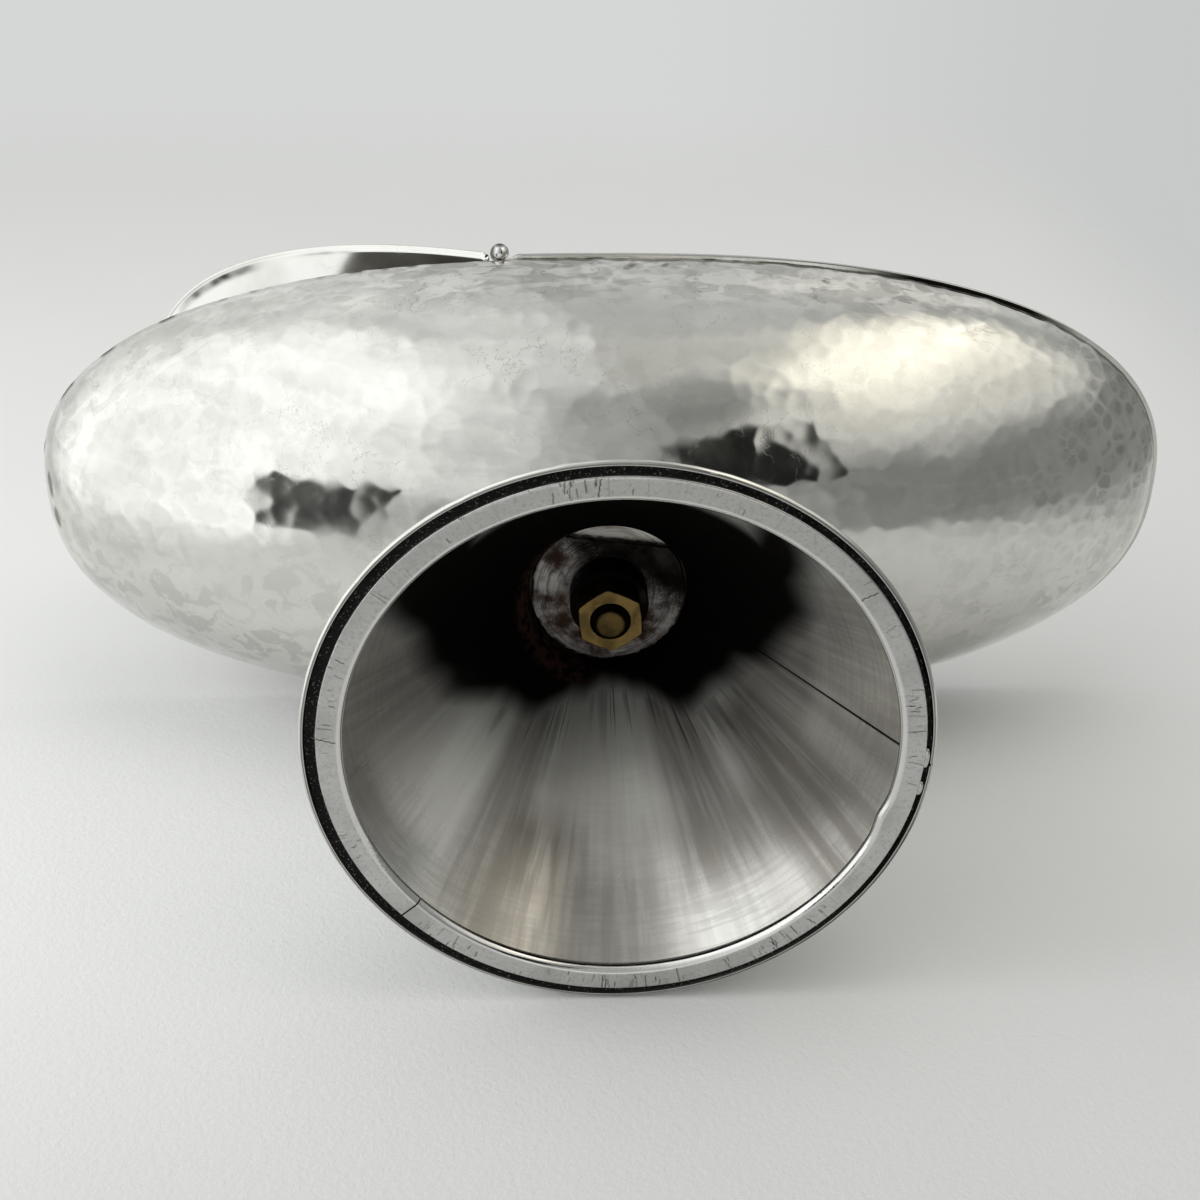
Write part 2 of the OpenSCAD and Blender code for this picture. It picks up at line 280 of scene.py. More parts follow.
def makeScratches():
    # hairline scratches in three directions
    kit, entry, leave = newGroup("fineScratches", {"Place": None, "Scale": 400.0, "Share": 0.5}, ["Mask"])
    lines = []
    for turn in ((0.3, 0.5, 0.2), (1.1, 0.2, 0.9), (0.7, 1.3, 2.1)):
        moved = kit.add("ShaderNodeMapping", {"Vector": entry["Place"], "Rotation": turn,
                                              "Scale": (0.05, 1.0, 1.0)}).outputs[0]
        wave = kit.noise(moved, entry["Scale"], 1.0, 0.6)
        lines.append(kit.ramp(kit.size(kit.minus(wave, 0.5)), 0.0, 0.02, 1.0, 0.0))
    patches = kit.noise(entry["Place"], kit.times(entry["Scale"], 0.25), 1.0)
    kept = kit.ramp(patches, kit.minus(0.85, kit.times(entry["Share"], 0.5)), 0.9)
    kit.links.new(kit.times(kit.most(*lines), kept), leave["Mask"])
    return kit.tree


def makeTarnish():
    # cloudy patches with a fine grain
    kit, entry, leave = newGroup("tarnishCloud", {"Place": None, "Scale": 90.0, "Share": 0.4}, ["Mask", "Grain"])
    clouds = kit.noise(entry["Place"], entry["Scale"], 4.0, 0.62)
    line, soft = kit.minus(0.8, kit.times(entry["Share"], 0.5)), 0.14
    kit.links.new(kit.ramp(clouds, kit.minus(line, soft), kit.plus(line, soft)), leave["Mask"])
    kit.links.new(kit.noise(entry["Place"], kit.times(entry["Scale"], 14.0), 1.0, 0.6), leave["Grain"])
    return kit.tree


def makeStreaks():
    # streaks along the meridians of a turned piece, or round it where Along is large
    kit, entry, leave = newGroup("meridianStreaks", {"Place": None, "Around": 20.0, "Along": 20.0, "Seed": 0.0,
                                                     "Fuzz": 3.0}, ["Streak"])
    x, y, z = kit.split(entry["Place"])
    far = kit.radius(x, y)
    spoke = kit.add("ShaderNodeCombineXYZ", {
        0: kit.times(kit.math("DIVIDE", x, far), entry["Around"]),
        1: kit.times(kit.math("DIVIDE", y, far), entry["Around"]),
        2: kit.plus(kit.times(far, entry["Along"]), entry["Seed"])}).outputs[0]
    kit.links.new(kit.noise(spoke, 1.0, entry["Fuzz"], 0.6), leave["Streak"])
    return kit.tree


scratchGroup, tarnishGroup, streakGroup = makeScratches(), makeTarnish(), makeStreaks()


def newMaterial(name, **fixed):
    material = bpy.data.materials.new(name)
    material.use_nodes = True
    shader = material.node_tree.nodes["Principled BSDF"]
    for key, value in fixed.items():
        shader.inputs[key].default_value = value
    return material, NodeKit(material.node_tree), shader


def dress(kit, shader, height, depth, **linked):
    # bump of the given depth in metres, and what varies over the surface
    bump = kit.add("ShaderNodeBump", {"Height": height, "Distance": depth, "Strength": 1.0})
    kit.links.new(bump.outputs["Normal"], shader.inputs["Normal"])
    for key, socket in linked.items():
        kit.links.new(socket, shader.inputs[{"tone": "Base Color", "rough": "Roughness", "metal": "Metallic",
                                             "solid": "Alpha"}[key]])


# places on the bowl are in metres: rim and covers by height, the rest by length or width
hammeredLook = {
    "silver": (0.725, 0.722, 0.688, 1), "veil": (0.635, 0.63, 0.596, 1), "ridge": (0.82, 0.815, 0.78, 1),
    "hollow": (0.45, 0.445, 0.425, 1), "stainAndDarkReflection": (0.47, 0.462, 0.44, 1), "line": (0.10, 0.095, 0.085, 1),
    "grimeAndPaintedDark": (0.012, 0.011, 0.010, 1), "rough": 0.075, "veilRough": 0.095, "veinRough": 0.12, "grimeAndPaintedDarkRough": 0.5,
    "veinScale": 190.0, "patchScale": 250.0, "blotchScale": 260.0, "dullScale": 330.0, "rimScale": 170.0,
    "rimStretch": (1.0, 1.0, 3.2), "veinMiddle": 0.008, "veinReach": (0.018, 0.045), "patchHeight": (0.060, 0.069),
    "blotchSide": (-0.016, 0.004), "beatenSide": (-0.012, 0.010), "covers": (0.0704, 0.0706),
    "rim": (0.0590, 0.0655), "rimDeckEnd": (-0.060, -0.045), "rimLidEnd": (0.018, 0.040), "pitDepth": 0.0000015}


def makeHammeredSilver(look):
    material, kit, shader = newMaterial("hammeredSilver", Metallic=1.0)
    place = kit.place()
    x, y, z = kit.split(place)
    cloud, scratch = kit.clouds(place, 55.0, 0.5), kit.scratches(place, 420.0, 0.35)
    hollow, grimeAndPaintedDark = kit.value("hollow"), kit.value("grimeAndPaintedDark")
    # fine dark veins, most of them about the middle
    vein = kit.size(kit.minus(kit.noise(place, look["veinScale"], 4.0, 0.62), 0.5))
    vein = kit.times(kit.ramp(vein, 0.0, 0.009, 1.0, 0.0), kit.ramp(kit.noise(place, 70.0, 2.0), 0.44, 0.60),
                     kit.ramp(kit.size(kit.minus(x, look["veinMiddle"])), *look["veinReach"], 1.0, 0.3))
    # thin patches of tarnish, more of them towards the rim, and uneven clouding
    patch = kit.times(kit.ramp(kit.noise(place, look["patchScale"], 3.0, 0.6), 0.49, 0.57),
                      kit.ramp(z, *look["patchHeight"], 0.25, 0.6))
    blotch = kit.times(kit.ramp(kit.noise(place, look["blotchScale"], 4.0, 0.62, 0.6), 0.49, 0.55),
                       kit.ramp(kit.noise(place, 60.0, 2.0), 0.40, 0.62, 0.2, 1.0),
                       kit.ramp(y, *look["blotchSide"], 0.6, 0.2))
    tone = kit.layer(look["silver"], look["veil"], cloud["Mask"], 0.5)
    tone = kit.layer(tone, look["veil"], patch)
    tone = kit.layer(tone, look["stainAndDarkReflection"], blotch)
    # long shallow hollows follow the rim: a painted highlight on their ridges, painted shade in them, and a dark line
    # between
    onCovers = kit.ramp(z, *look["covers"])
    rim = kit.times(kit.ramp(z, *look["rim"]), kit.ramp(x, *look["rimDeckEnd"], 0.3, 1.0),
                    kit.ramp(x, *look["rimLidEnd"], 1.0, 0.35), kit.minus(1.0, onCovers))
    stretched = kit.add("ShaderNodeMapping", {"Vector": place, "Scale": look["rimStretch"]}).outputs[0]
    long = kit.noise(stretched, look["rimScale"], 3.0, 0.55, 0.5)
    edge = kit.times(kit.ramp(kit.size(kit.minus(long, 0.52)), 0.0, 0.018, 1.0, 0.0),
                     kit.ramp(kit.noise(place, 210.0, 2.0), 0.48, 0.60, 0.0, 0.6))
    tone = kit.layer(tone, look["ridge"], rim, kit.ramp(long, 0.44, 0.50, 0.95, 0.0))
    tone = kit.layer(tone, look["hollow"], rim, kit.ramp(long, 0.50, 0.56, 0.0, 0.55))
    tone = kit.layer(tone, look["line"], rim, edge)
    # polishing keeps the ridges bright, and the hollows of the stronger blows stay dull
    beaten = kit.times(kit.value("beaten"), kit.ramp(kit.noise(place, 45.0, 2.0), 0.40, 0.62, 0.12, 0.75),
                       kit.most(kit.ramp(y, *look["beatenSide"], 0.25, 1.0), onCovers))
    uneven = kit.ramp(kit.noise(place, look["dullScale"], 2.0, 0.6), 0.40, 0.60)
    dull = kit.times(kit.ramp(kit.plus(hollow, kit.times(uneven, 0.35)), 0.45, 1.25), uneven)
    tone = kit.layer(tone, look["ridge"], beaten, kit.minus(1.0, hollow), 0.55)
    tone = kit.layer(tone, look["hollow"], beaten, dull)
    tone = kit.layer(tone, look["line"], vein, 0.3)
    tone = kit.layer(tone, look["veil"], scratch, 0.15)
    tone = kit.layer(tone, look["grimeAndPaintedDark"], grimeAndPaintedDark)
    rough = kit.plus(look["rough"], kit.times(cloud["Mask"], look["veilRough"]), kit.times(vein, look["veinRough"]),
                     kit.times(grimeAndPaintedDark, look["grimeAndPaintedDarkRough"]))
    pits = kit.ramp(cloud["Grain"], 0.66, 0.78, 0.0, -0.6)
    dress(kit, shader, kit.minus(pits, kit.plus(scratch, vein)), look["pitDepth"], tone=tone, rough=rough)
    return material


# polished small pieces, the inside of the bowl darkened by incense, and brass
smoothLook = {"metal": (0.72, 0.715, 0.69, 1), "worn": (0.52, 0.505, 0.475, 1), "dirtAndPaintedDark": (0.05, 0.047, 0.043, 1),
              "cloudScale": 40.0, "cloudShare": 0.45, "cloudTone": 0.55, "cloudRough": 0.12,
              "scratchScale": 500.0, "scratchShare": 0.7, "scratchTone": 0.25, "scratchRough": 0.15,
              "rough": 0.10, "grain": 0.2, "depth": 0.000002}
stainLook = {"metal": (0.33, 0.322, 0.30, 1), "worn": (0.14, 0.127, 0.105, 1), "dirtAndPaintedDark": (0.05, 0.047, 0.043, 1),
             "cloudScale": 70.0, "cloudShare": 0.6, "cloudTone": 1.0, "cloudRough": 0.25,
             "scratchScale": 300.0, "scratchShare": 0.7, "scratchTone": 0.4,
             "rough": 0.28, "grain": 1.0, "depth": 0.000012}
brassLook = {"metal": (0.172, 0.116, 0.041, 1), "worn": (0.088, 0.062, 0.024, 1), "dirtAndPaintedDark": (0.012, 0.008, 0.005, 1),
             "cloudScale": 420.0, "cloudShare": 0.55, "cloudTone": 0.7, "cloudRough": 0.2,
             "scratchScale": 900.0, "scratchShare": 0.9, "scratchTone": 0.35,
             "rough": 0.3, "dirtAndPaintedDarkRough": 0.25, "grain": 0.6, "depth": 0.000012}


def makeWornMetal(name, look):
    material, kit, shader = newMaterial(name, Metallic=1.0)
    place = kit.place()
    cloud = kit.clouds(place, look["cloudScale"], look["cloudShare"])
    scratch = kit.scratches(place, look["scratchScale"], look["scratchShare"])
    dirtAndPaintedDark = kit.value("grimeAndPaintedDark")
    tone = kit.layer(look["metal"], look["worn"], cloud["Mask"], look["cloudTone"])
    tone = kit.layer(tone, look["worn"], scratch, look["scratchTone"])
    tone = kit.layer(tone, look["dirtAndPaintedDark"], dirtAndPaintedDark)
    masks = {"cloudRough": cloud["Mask"], "scratchRough": scratch, "dirtAndPaintedDarkRough": dirtAndPaintedDark}
    rough = kit.plus(look["rough"], *(kit.times(mask, look[key]) for key, mask in masks.items() if key in look))
    height = kit.minus(kit.times(cloud["Grain"], look["grain"]), scratch)
    dress(kit, shader, height, look["depth"], tone=tone, rough=rough)
    return material


satinLook = {
    "silver": (0.87, 0.87, 0.83, 1), "grey": (0.58, 0.58, 0.55, 1), "warm": (0.75, 0.735, 0.70, 1),
    # highlightTone paints a highlight, and the soot and stain tones here also paint shade and dark reflections
    "highlightTone": (1.0, 1.0, 0.96, 1), "sootAndShade": (0.004, 0.0033, 0.0028, 1), "stainAndDarkReflection": (0.255, 0.238, 0.215, 1),
    "rust": (0.085, 0.042, 0.03, 1), "metallic": 0.95, "sheenLessMetal": 0.5, "rough": 0.26, "upperRough": 0.10,
    "sootAndShadeRough": 0.55, "depth": 0.000003,
    # heights in metres, and how far the painted shade leans to the upper side and to the lid's end
    "brushed": (0.006, 0.020), "upper": (0.009, 0.018), "fingers": (0.0262, 0.0322), "runs": (0.0252, 0.0332),
    "drops": (0.0205, 0.0265), "leaningShade": (0.006, 0.022), "black": (0.0165, 0.0248), "creep": 0.009,
    "leanUp": 0.62, "leanLid": 0.16, "clear": (-88, 26, 0.004), "neckEdge": (0.0114, 0.0126),
    # the hidden upper wall by the mouth, left out of the painted shade: height, side and half length
    "unshadedWall": ((0.010, 0.016), (0.010, 0.018), (0.011, 0.017)),
    # direction and half width in degrees, lowest and highest height, strength
    "paintedSheen": (-29, 18, 0.008, 0.024, 0.9),
    "wedges": ((-54, 8, 0.003, 0.030, 0.68), (-121, 10, 0.011, 0.032, 0.85), (-66, 12, -0.01, 0.010, 0.80),
               (-69, 12, 0.0085, 0.018, 0.95), (-88, 13, -0.01, 0.013, 0.55), (-128, 20, 0.0085, 0.0175, 0.75),
               (-150, 11, -0.01, 0.026, 1.0), (174, 26, -0.01, 0.0155, 0.60), (176, 24, 0.0155, 0.030, 0.80),
               (-3, 18, -0.01, 0.030, 0.62), (-105, 40, -0.01, 0.0105, 0.32), (-98, 10, 0.0085, 0.019, 0.35))}


def makeSatinSilver(look):
    material, kit, shader = newMaterial("satinSilver")
    place = kit.place()
    x, y, z = kit.split(place)
    far = kit.radius(x, y)
    wide, fine = kit.streaks(place, 4.0, 18.0, 3.0), kit.streaks(place, 20.0, 90.0, 8.0)
    brushed = kit.streaks(place, 4.0, 3000.0, 2.0)
    cloud, scratch = kit.clouds(place, 60.0, 0.45), kit.scratches(place, 330.0, 0.6)
    inside = kit.value("inside")
    uneven = kit.times(kit.ramp(fine, 0.35, 0.60, 0.7, 1.0), inside)

    def sector(turn, half, share):
        # full along a direction around the axis, and 0 away from it
        turn = math.radians(turn)
        toward = kit.math("DIVIDE", kit.plus(kit.times(x, math.cos(turn)), kit.times(y, math.sin(turn))), far)
        return kit.ramp(toward, math.cos(math.radians(1.5 * half)), math.cos(math.radians(0.4 * half)), 0.0, share)

    def wedge(turn, half, bottom, top, share):
        return kit.times(sector(turn, half, share), kit.ramp(z, bottom - 0.002, bottom + 0.002),
                         kit.ramp(z, top - 0.003, top + 0.003, 1.0, 0.0), uneven)

    # streaked lengthways, and brushed round near the lip
    low = kit.ramp(z, *look["brushed"], 1.0, 0.2)
    tone = kit.layer(look["silver"], look["warm"], kit.ramp(wide, 0.42, 0.62))
    tone = kit.layer(tone, look["grey"], kit.ramp(fine, 0.52, 0.72), 0.25)
    tone = kit.layer(tone, look["grey"], cloud["Mask"], 0.3)
    tone = kit.layer(tone, look["grey"], scratch, 0.3)
    tone = kit.layer(tone, look["grey"], kit.ramp(brushed, 0.44, 0.60, 0.0, 0.6), low)
    # one brighter stretch, a painted highlight, and darker wedges that run from neck to mouth, painted dark reflections
    # and painted shade
    paintedSheen = wedge(*look["paintedSheen"])
    tone = kit.layer(tone, look["highlightTone"], paintedSheen)
    # each wedge paints a dark reflection, and painted shade deeper in the cone
    for values in look["wedges"]:
        tone = kit.layer(tone, look["stainAndDarkReflection"], wedge(*values))
    # soot comes out of the neck in fingers and drops; the full black in the neck is soot and painted shade, and the
    # darker upper side is painted shade
    broad, drip = kit.streaks(place, 3.0, 30.0, 5.0, 0.5), kit.streaks(place, 8.0, 25.0, 11.0, 1.0)
    creep = kit.minus(kit.plus(z, kit.times(kit.minus(broad, 0.5), look["creep"])), sector(*look["clear"]))
    run = kit.plus(creep, kit.ramp(drip, 0.45, 0.80, 0.0, look["creep"]))
    drops = kit.ramp(kit.streaks(place, 34.0, 60.0, 17.0, 1.0), 0.56, 0.66, 0.0, 0.75)
    leaning = kit.plus(creep, kit.times(y, look["leanUp"]), kit.times(kit.most(x, 0.0), look["leanLid"]))
    leaningShade = kit.most(kit.ramp(leaning, *look["leaningShade"], 0.0, 0.4), kit.ramp(leaning, *look["black"]))
    tall, side, half = look["unshadedWall"]
    deep = kit.most(kit.ramp(z, *tall), kit.ramp(y, *side, 1.0, 0.0), kit.ramp(kit.size(x), *half))
    sootAndShade = kit.most(kit.ramp(creep, *look["fingers"]), kit.ramp(run, *look["runs"], 0.0, 0.62),
                    kit.times(leaningShade, deep), kit.times(drops, kit.ramp(creep, *look["drops"])))
    sootAndShade = kit.times(sootAndShade, inside)
    tone = kit.layer(tone, look["sootAndShade"], sootAndShade)
    # rusty edge of the neck, the open seam, and painted shade on the lip's inner wall by the groove
    tone = kit.layer(tone, look["rust"], kit.ramp(far, *look["neckEdge"], 0.8, 0.0), kit.ramp(x, 0.0, 0.006),
                     kit.ramp(cloud["Grain"], 0.35, 0.6))
    tone = kit.layer(tone, look["sootAndShade"], kit.value("seam"), 0.95)
    metal = kit.minus(look["metallic"], kit.times(paintedSheen, look["sheenLessMetal"]))
    rough = kit.plus(look["rough"], kit.times(kit.minus(fine, 0.5), 0.12),
                     kit.ramp(z, *look["upper"], 0.0, look["upperRough"]), kit.times(sootAndShade, look["sootAndShadeRough"]))
    height = kit.plus(kit.times(fine, 0.4), kit.times(brushed, low, 0.7))
    dress(kit, shader, height, look["depth"], tone=tone, rough=rough, metal=metal)
    return material


ringLook = {"silver": (0.56, 0.553, 0.54, 1), "grey": (0.35, 0.345, 0.335, 1), "nick": (0.05, 0.047, 0.042, 1),
            "highlightTone": (0.80, 0.795, 0.78, 1), "rough": 0.25, "cloudRough": 0.15, "polishRough": -0.16,
            "nickRough": 0.3, "depth": 0.00001}


def makeRingSilver(look):
    material, kit, shader = newMaterial("filedSilver", Metallic=1.0)
    place = kit.place()
    fine = kit.streaks(place, 90.0, 120.0, 1.0)
    cloud, scratch = kit.clouds(place, 160.0, 0.5), kit.scratches(place, 520.0, 0.8)
    nick, polishAndHighlight = kit.value("nick"), kit.value("polishAndHighlight")
    tone = kit.layer(look["silver"], look["grey"], cloud["Mask"], 0.5)
    tone = kit.layer(tone, look["grey"], kit.ramp(fine, 0.55, 0.75), 0.4)
    tone = kit.layer(tone, look["grey"], scratch, 0.3)
    tone = kit.layer(tone, look["grey"], kit.ramp(cloud["Grain"], 0.50, 0.72, 0.0, 0.5))
    tone = kit.layer(tone, look["highlightTone"], polishAndHighlight, 0.8)  # the bevel is rubbed bright and smooth, and painted brighter for its highlight
    tone = kit.layer(tone, look["nick"], nick)
    rough = kit.plus(look["rough"], kit.times(cloud["Mask"], look["cloudRough"]),
                     kit.times(polishAndHighlight, look["polishRough"]), kit.times(nick, look["nickRough"]))
    dress(kit, shader, kit.minus(fine, scratch), look["depth"], tone=tone, rough=rough)
    return material


# darkening lies on one side of each: its direction, and from where to where it thickens; on the bush and the neck plate
# it is painted shade
washerLook = {"metal": (0.27, 0.263, 0.255, 1), "brown": (0.045, 0.026, 0.019, 1), "black": (0.006, 0.005, 0.004, 1),
              "cloud": 0.55, "spots": 0.42, "rough": 0.36, "darkWay": (-0.5, 0.85), "darkAcross": (0.0005, 0.0055),
              "sootAndShade": 0.95}
bushLook = {"metal": (0.20, 0.185, 0.17, 1), "brown": (0.045, 0.030, 0.022, 1), "black": (0.006, 0.005, 0.0045, 1),
            "cloud": 0.9, "spots": 0.8, "rough": 0.45, "darkWay": (0.0, 1.0), "darkAcross": (-0.02, -0.019),
            "sootAndShade": 0.8}
# the neck plate is black below its top segment: painted shade
neckLook = {"metal": (0.50, 0.487, 0.46, 1), "brown": (0.20, 0.165, 0.13, 1), "black": (0.012, 0.009, 0.007, 1),
            "cloud": 0.3, "spots": 0.15, "rough": 0.42, "darkWay": (0.0, 1.0), "darkAcross": (0.0072, 0.0058),
            "sootAndShade": 0.95}


def makeTarnishedPlate(name, look):
    material, kit, shader = newMaterial(name, Metallic=1.0)
    place = kit.place()
    x, y, z = kit.split(place)
    cloud, spots = kit.clouds(place, 260.0, look["cloud"]), kit.clouds(place, 120.0, look["spots"])
    turned, scratch = kit.streaks(place, 1.6, 3200.0, 5.0), kit.scratches(place, 600.0, 0.7)
    tone = kit.layer(look["metal"], look["brown"], cloud["Mask"])
    tone = kit.layer(tone, look["brown"], kit.ramp(turned, 0.48, 0.60), 0.6)
    tone = kit.layer(tone, look["brown"], scratch, 0.4)
    tone = kit.layer(tone, look["black"], spots["Mask"])
    across = kit.plus(kit.times(x, look["darkWay"][0]), kit.times(y, look["darkWay"][1]),
                      kit.times(kit.minus(cloud["Grain"], 0.5), 0.004))
    # darker towards one side; on the bush and the neck plate this is painted shade
    tone = kit.layer(tone, look["black"], kit.ramp(across, *look["darkAcross"]), look["sootAndShade"])
    rough = kit.plus(look["rough"], kit.times(cloud["Mask"], 0.25))
    dress(kit, shader, kit.plus(turned, kit.times(cloud["Grain"], 0.5)), 0.00002, tone=tone, rough=rough)
    return material


dirtLook = {"black": (0.004, 0.004, 0.004, 1), "brown": (0.016, 0.014, 0.012, 1), "speck": (0.25, 0.24, 0.22, 1),
            "rough": 0.55, "specular": 0.12, "depth": 0.00012}


def makeCreviceDirt(look):
    material, kit, shader = newMaterial("creviceDirt", **{"Specular IOR Level": look["specular"]})
    cloud = kit.clouds(kit.place(), 300.0, 0.35)
    tone = kit.layer(look["black"], look["brown"], cloud["Mask"])
    tone = kit.layer(tone, look["speck"], kit.ramp(cloud["Grain"], 0.63, 0.71), 0.6)
    rough = kit.plus(look["rough"], kit.times(cloud["Mask"], 0.3))
    dress(kit, shader, cloud["Grain"], look["depth"], tone=tone, rough=rough)
    return material


hammeredSilver, smoothSilver = makeHammeredSilver(hammeredLook), makeWornMetal("smoothSilver", smoothLook)
stainedSilver, wornBrass = makeWornMetal("stainedSilver", stainLook), makeWornMetal("wornBrass", brassLook)
satinSilver, ringSilver = makeSatinSilver(satinLook), makeRingSilver(ringLook)
washerTarnish = makeTarnishedPlate("tarnishedWasher", washerLook)
bushTarnishAndShade = makeTarnishedPlate("shadedBush", bushLook)
dullPlate = makeTarnishedPlate("dullPlate", neckLook)
creviceDirt = makeCreviceDirt(dirtLook)
print("materials made")

# the bowl

bowl = {"floorHeight": 41.0, "rimHeight": 70.6, "length": 164.6, "width": 70.3, "shift": -0.3, "wall": 1.0,
        "floorLength": 28.0, "floorWidth": 25.0, "rimPower": 2.44, "endPower": 1.46, "sidePower": 1.49,
        "columns": 1080, "rows": 180, "insideRows": 36, "shoulder": 0.18, "rimSoft": 0.03, "seed": 11,
        # hammer marks: radius of the dishes, how strong they are by the lid, and how many blows go deeper
        "markSpacing": 2.5, "rowSpacing": 0.87, "markTurn": 0.9, "blur": 0.75, "endDish": 27.0, "middleDish": 48.0,
        "dishSpread": (0.8, 1.3), "lidEnd": 0.3, "lidRim": 0.4, "markDepth": 0.008, "deepBlow": 0.01,
        "deepShare": 0.25, "markTop": 0.06, "swellWave": 13.0, "swell": 0.04,
        "endsFrom": (0.42, 0.85), "rimFrom": (0.66, 0.90), "widerRows": (0.82, 0.95), "wider": 0.4,
        # dirt and darkening: stretches along the rim, wave lengths, and dents at the lid's end by place and half size
        "brokenWave": 3.4, "spotWave": 2.8,
        "fullUnderDeck": (-70, -60, -46, -36), "spotted": (-48, -38, 14, 24), "lidSide": (16, 30),
        "nicks": (((80.5, 2.3, 67.9), (1.0, 2.6, 1.0)), ((80.2, -2.9, 67.5), (1.0, 2.2, 1.0)))}


def outlinePoint(angle, halfX, halfY, power):
    c, s = np.cos(angle), np.sin(angle)
    far = (np.abs(c) ** power + np.abs(s) ** power) ** (-1 / power)
    return np.stack([halfX * c * far, halfY * s * far], -1)


def bowlSurface(level, angle, inset):
    def swellOut(floorHalf, rimHalf, power):
        return floorHalf + (rimHalf - floorHalf) * (1 - (1 - level) ** power) ** (1 / power)
    halfX = swellOut(bowl["floorLength"] / 2 - inset, bowl["length"] / 2 - inset, bowl["endPower"])
    halfY = swellOut(bowl["floorWidth"] / 2 - inset, bowl["width"] / 2 - inset, bowl["sidePower"])
    flat = outlinePoint(angle, halfX, halfY, 2 + (bowl["rimPower"] - 2) * level) + np.array([bowl["shift"], 0])
    low = bowl["floorHeight"] + inset
    tall = low + (bowl["rimHeight"] - low) * level + 0 * angle
    return np.concatenate([flat, tall[..., None]], -1)


def bowlMarks(draw):
    # blows in uneven rows from the floor to the rim
    levels = np.linspace(0, 1, 400)
    path = bowlSurface(levels, bowl["markTurn"] + 0 * levels, 0)
    rows = int(pathLengths(path)[-1] / bowl["markSpacing"] / bowl["rowSpacing"])
    marks = []
    for level in evenSteps(path, rows):
        around = np.linspace(0, 2 * math.pi, 721)
        ring = bowlSurface(level + 0 * around, around, 0)
        wider = 1 + bowl["wider"] * smoothRamp(*bowl["widerRows"], level)
        count = max(8, int(pathLengths(ring)[-1] / bowl["markSpacing"] / wider))
        turns = evenSteps(ring, count + 1)[:-1] * 2 * math.pi
        turns += (draw.uniform() + draw.uniform(-0.42, 0.42, count)) * 2 * math.pi / count
        jumped = np.clip(level + draw.uniform(-0.5, 0.5, count) / rows, 0, 1)
        marks.append(bowlSurface(jumped, turns, 0))
    return np.concatenate(marks)


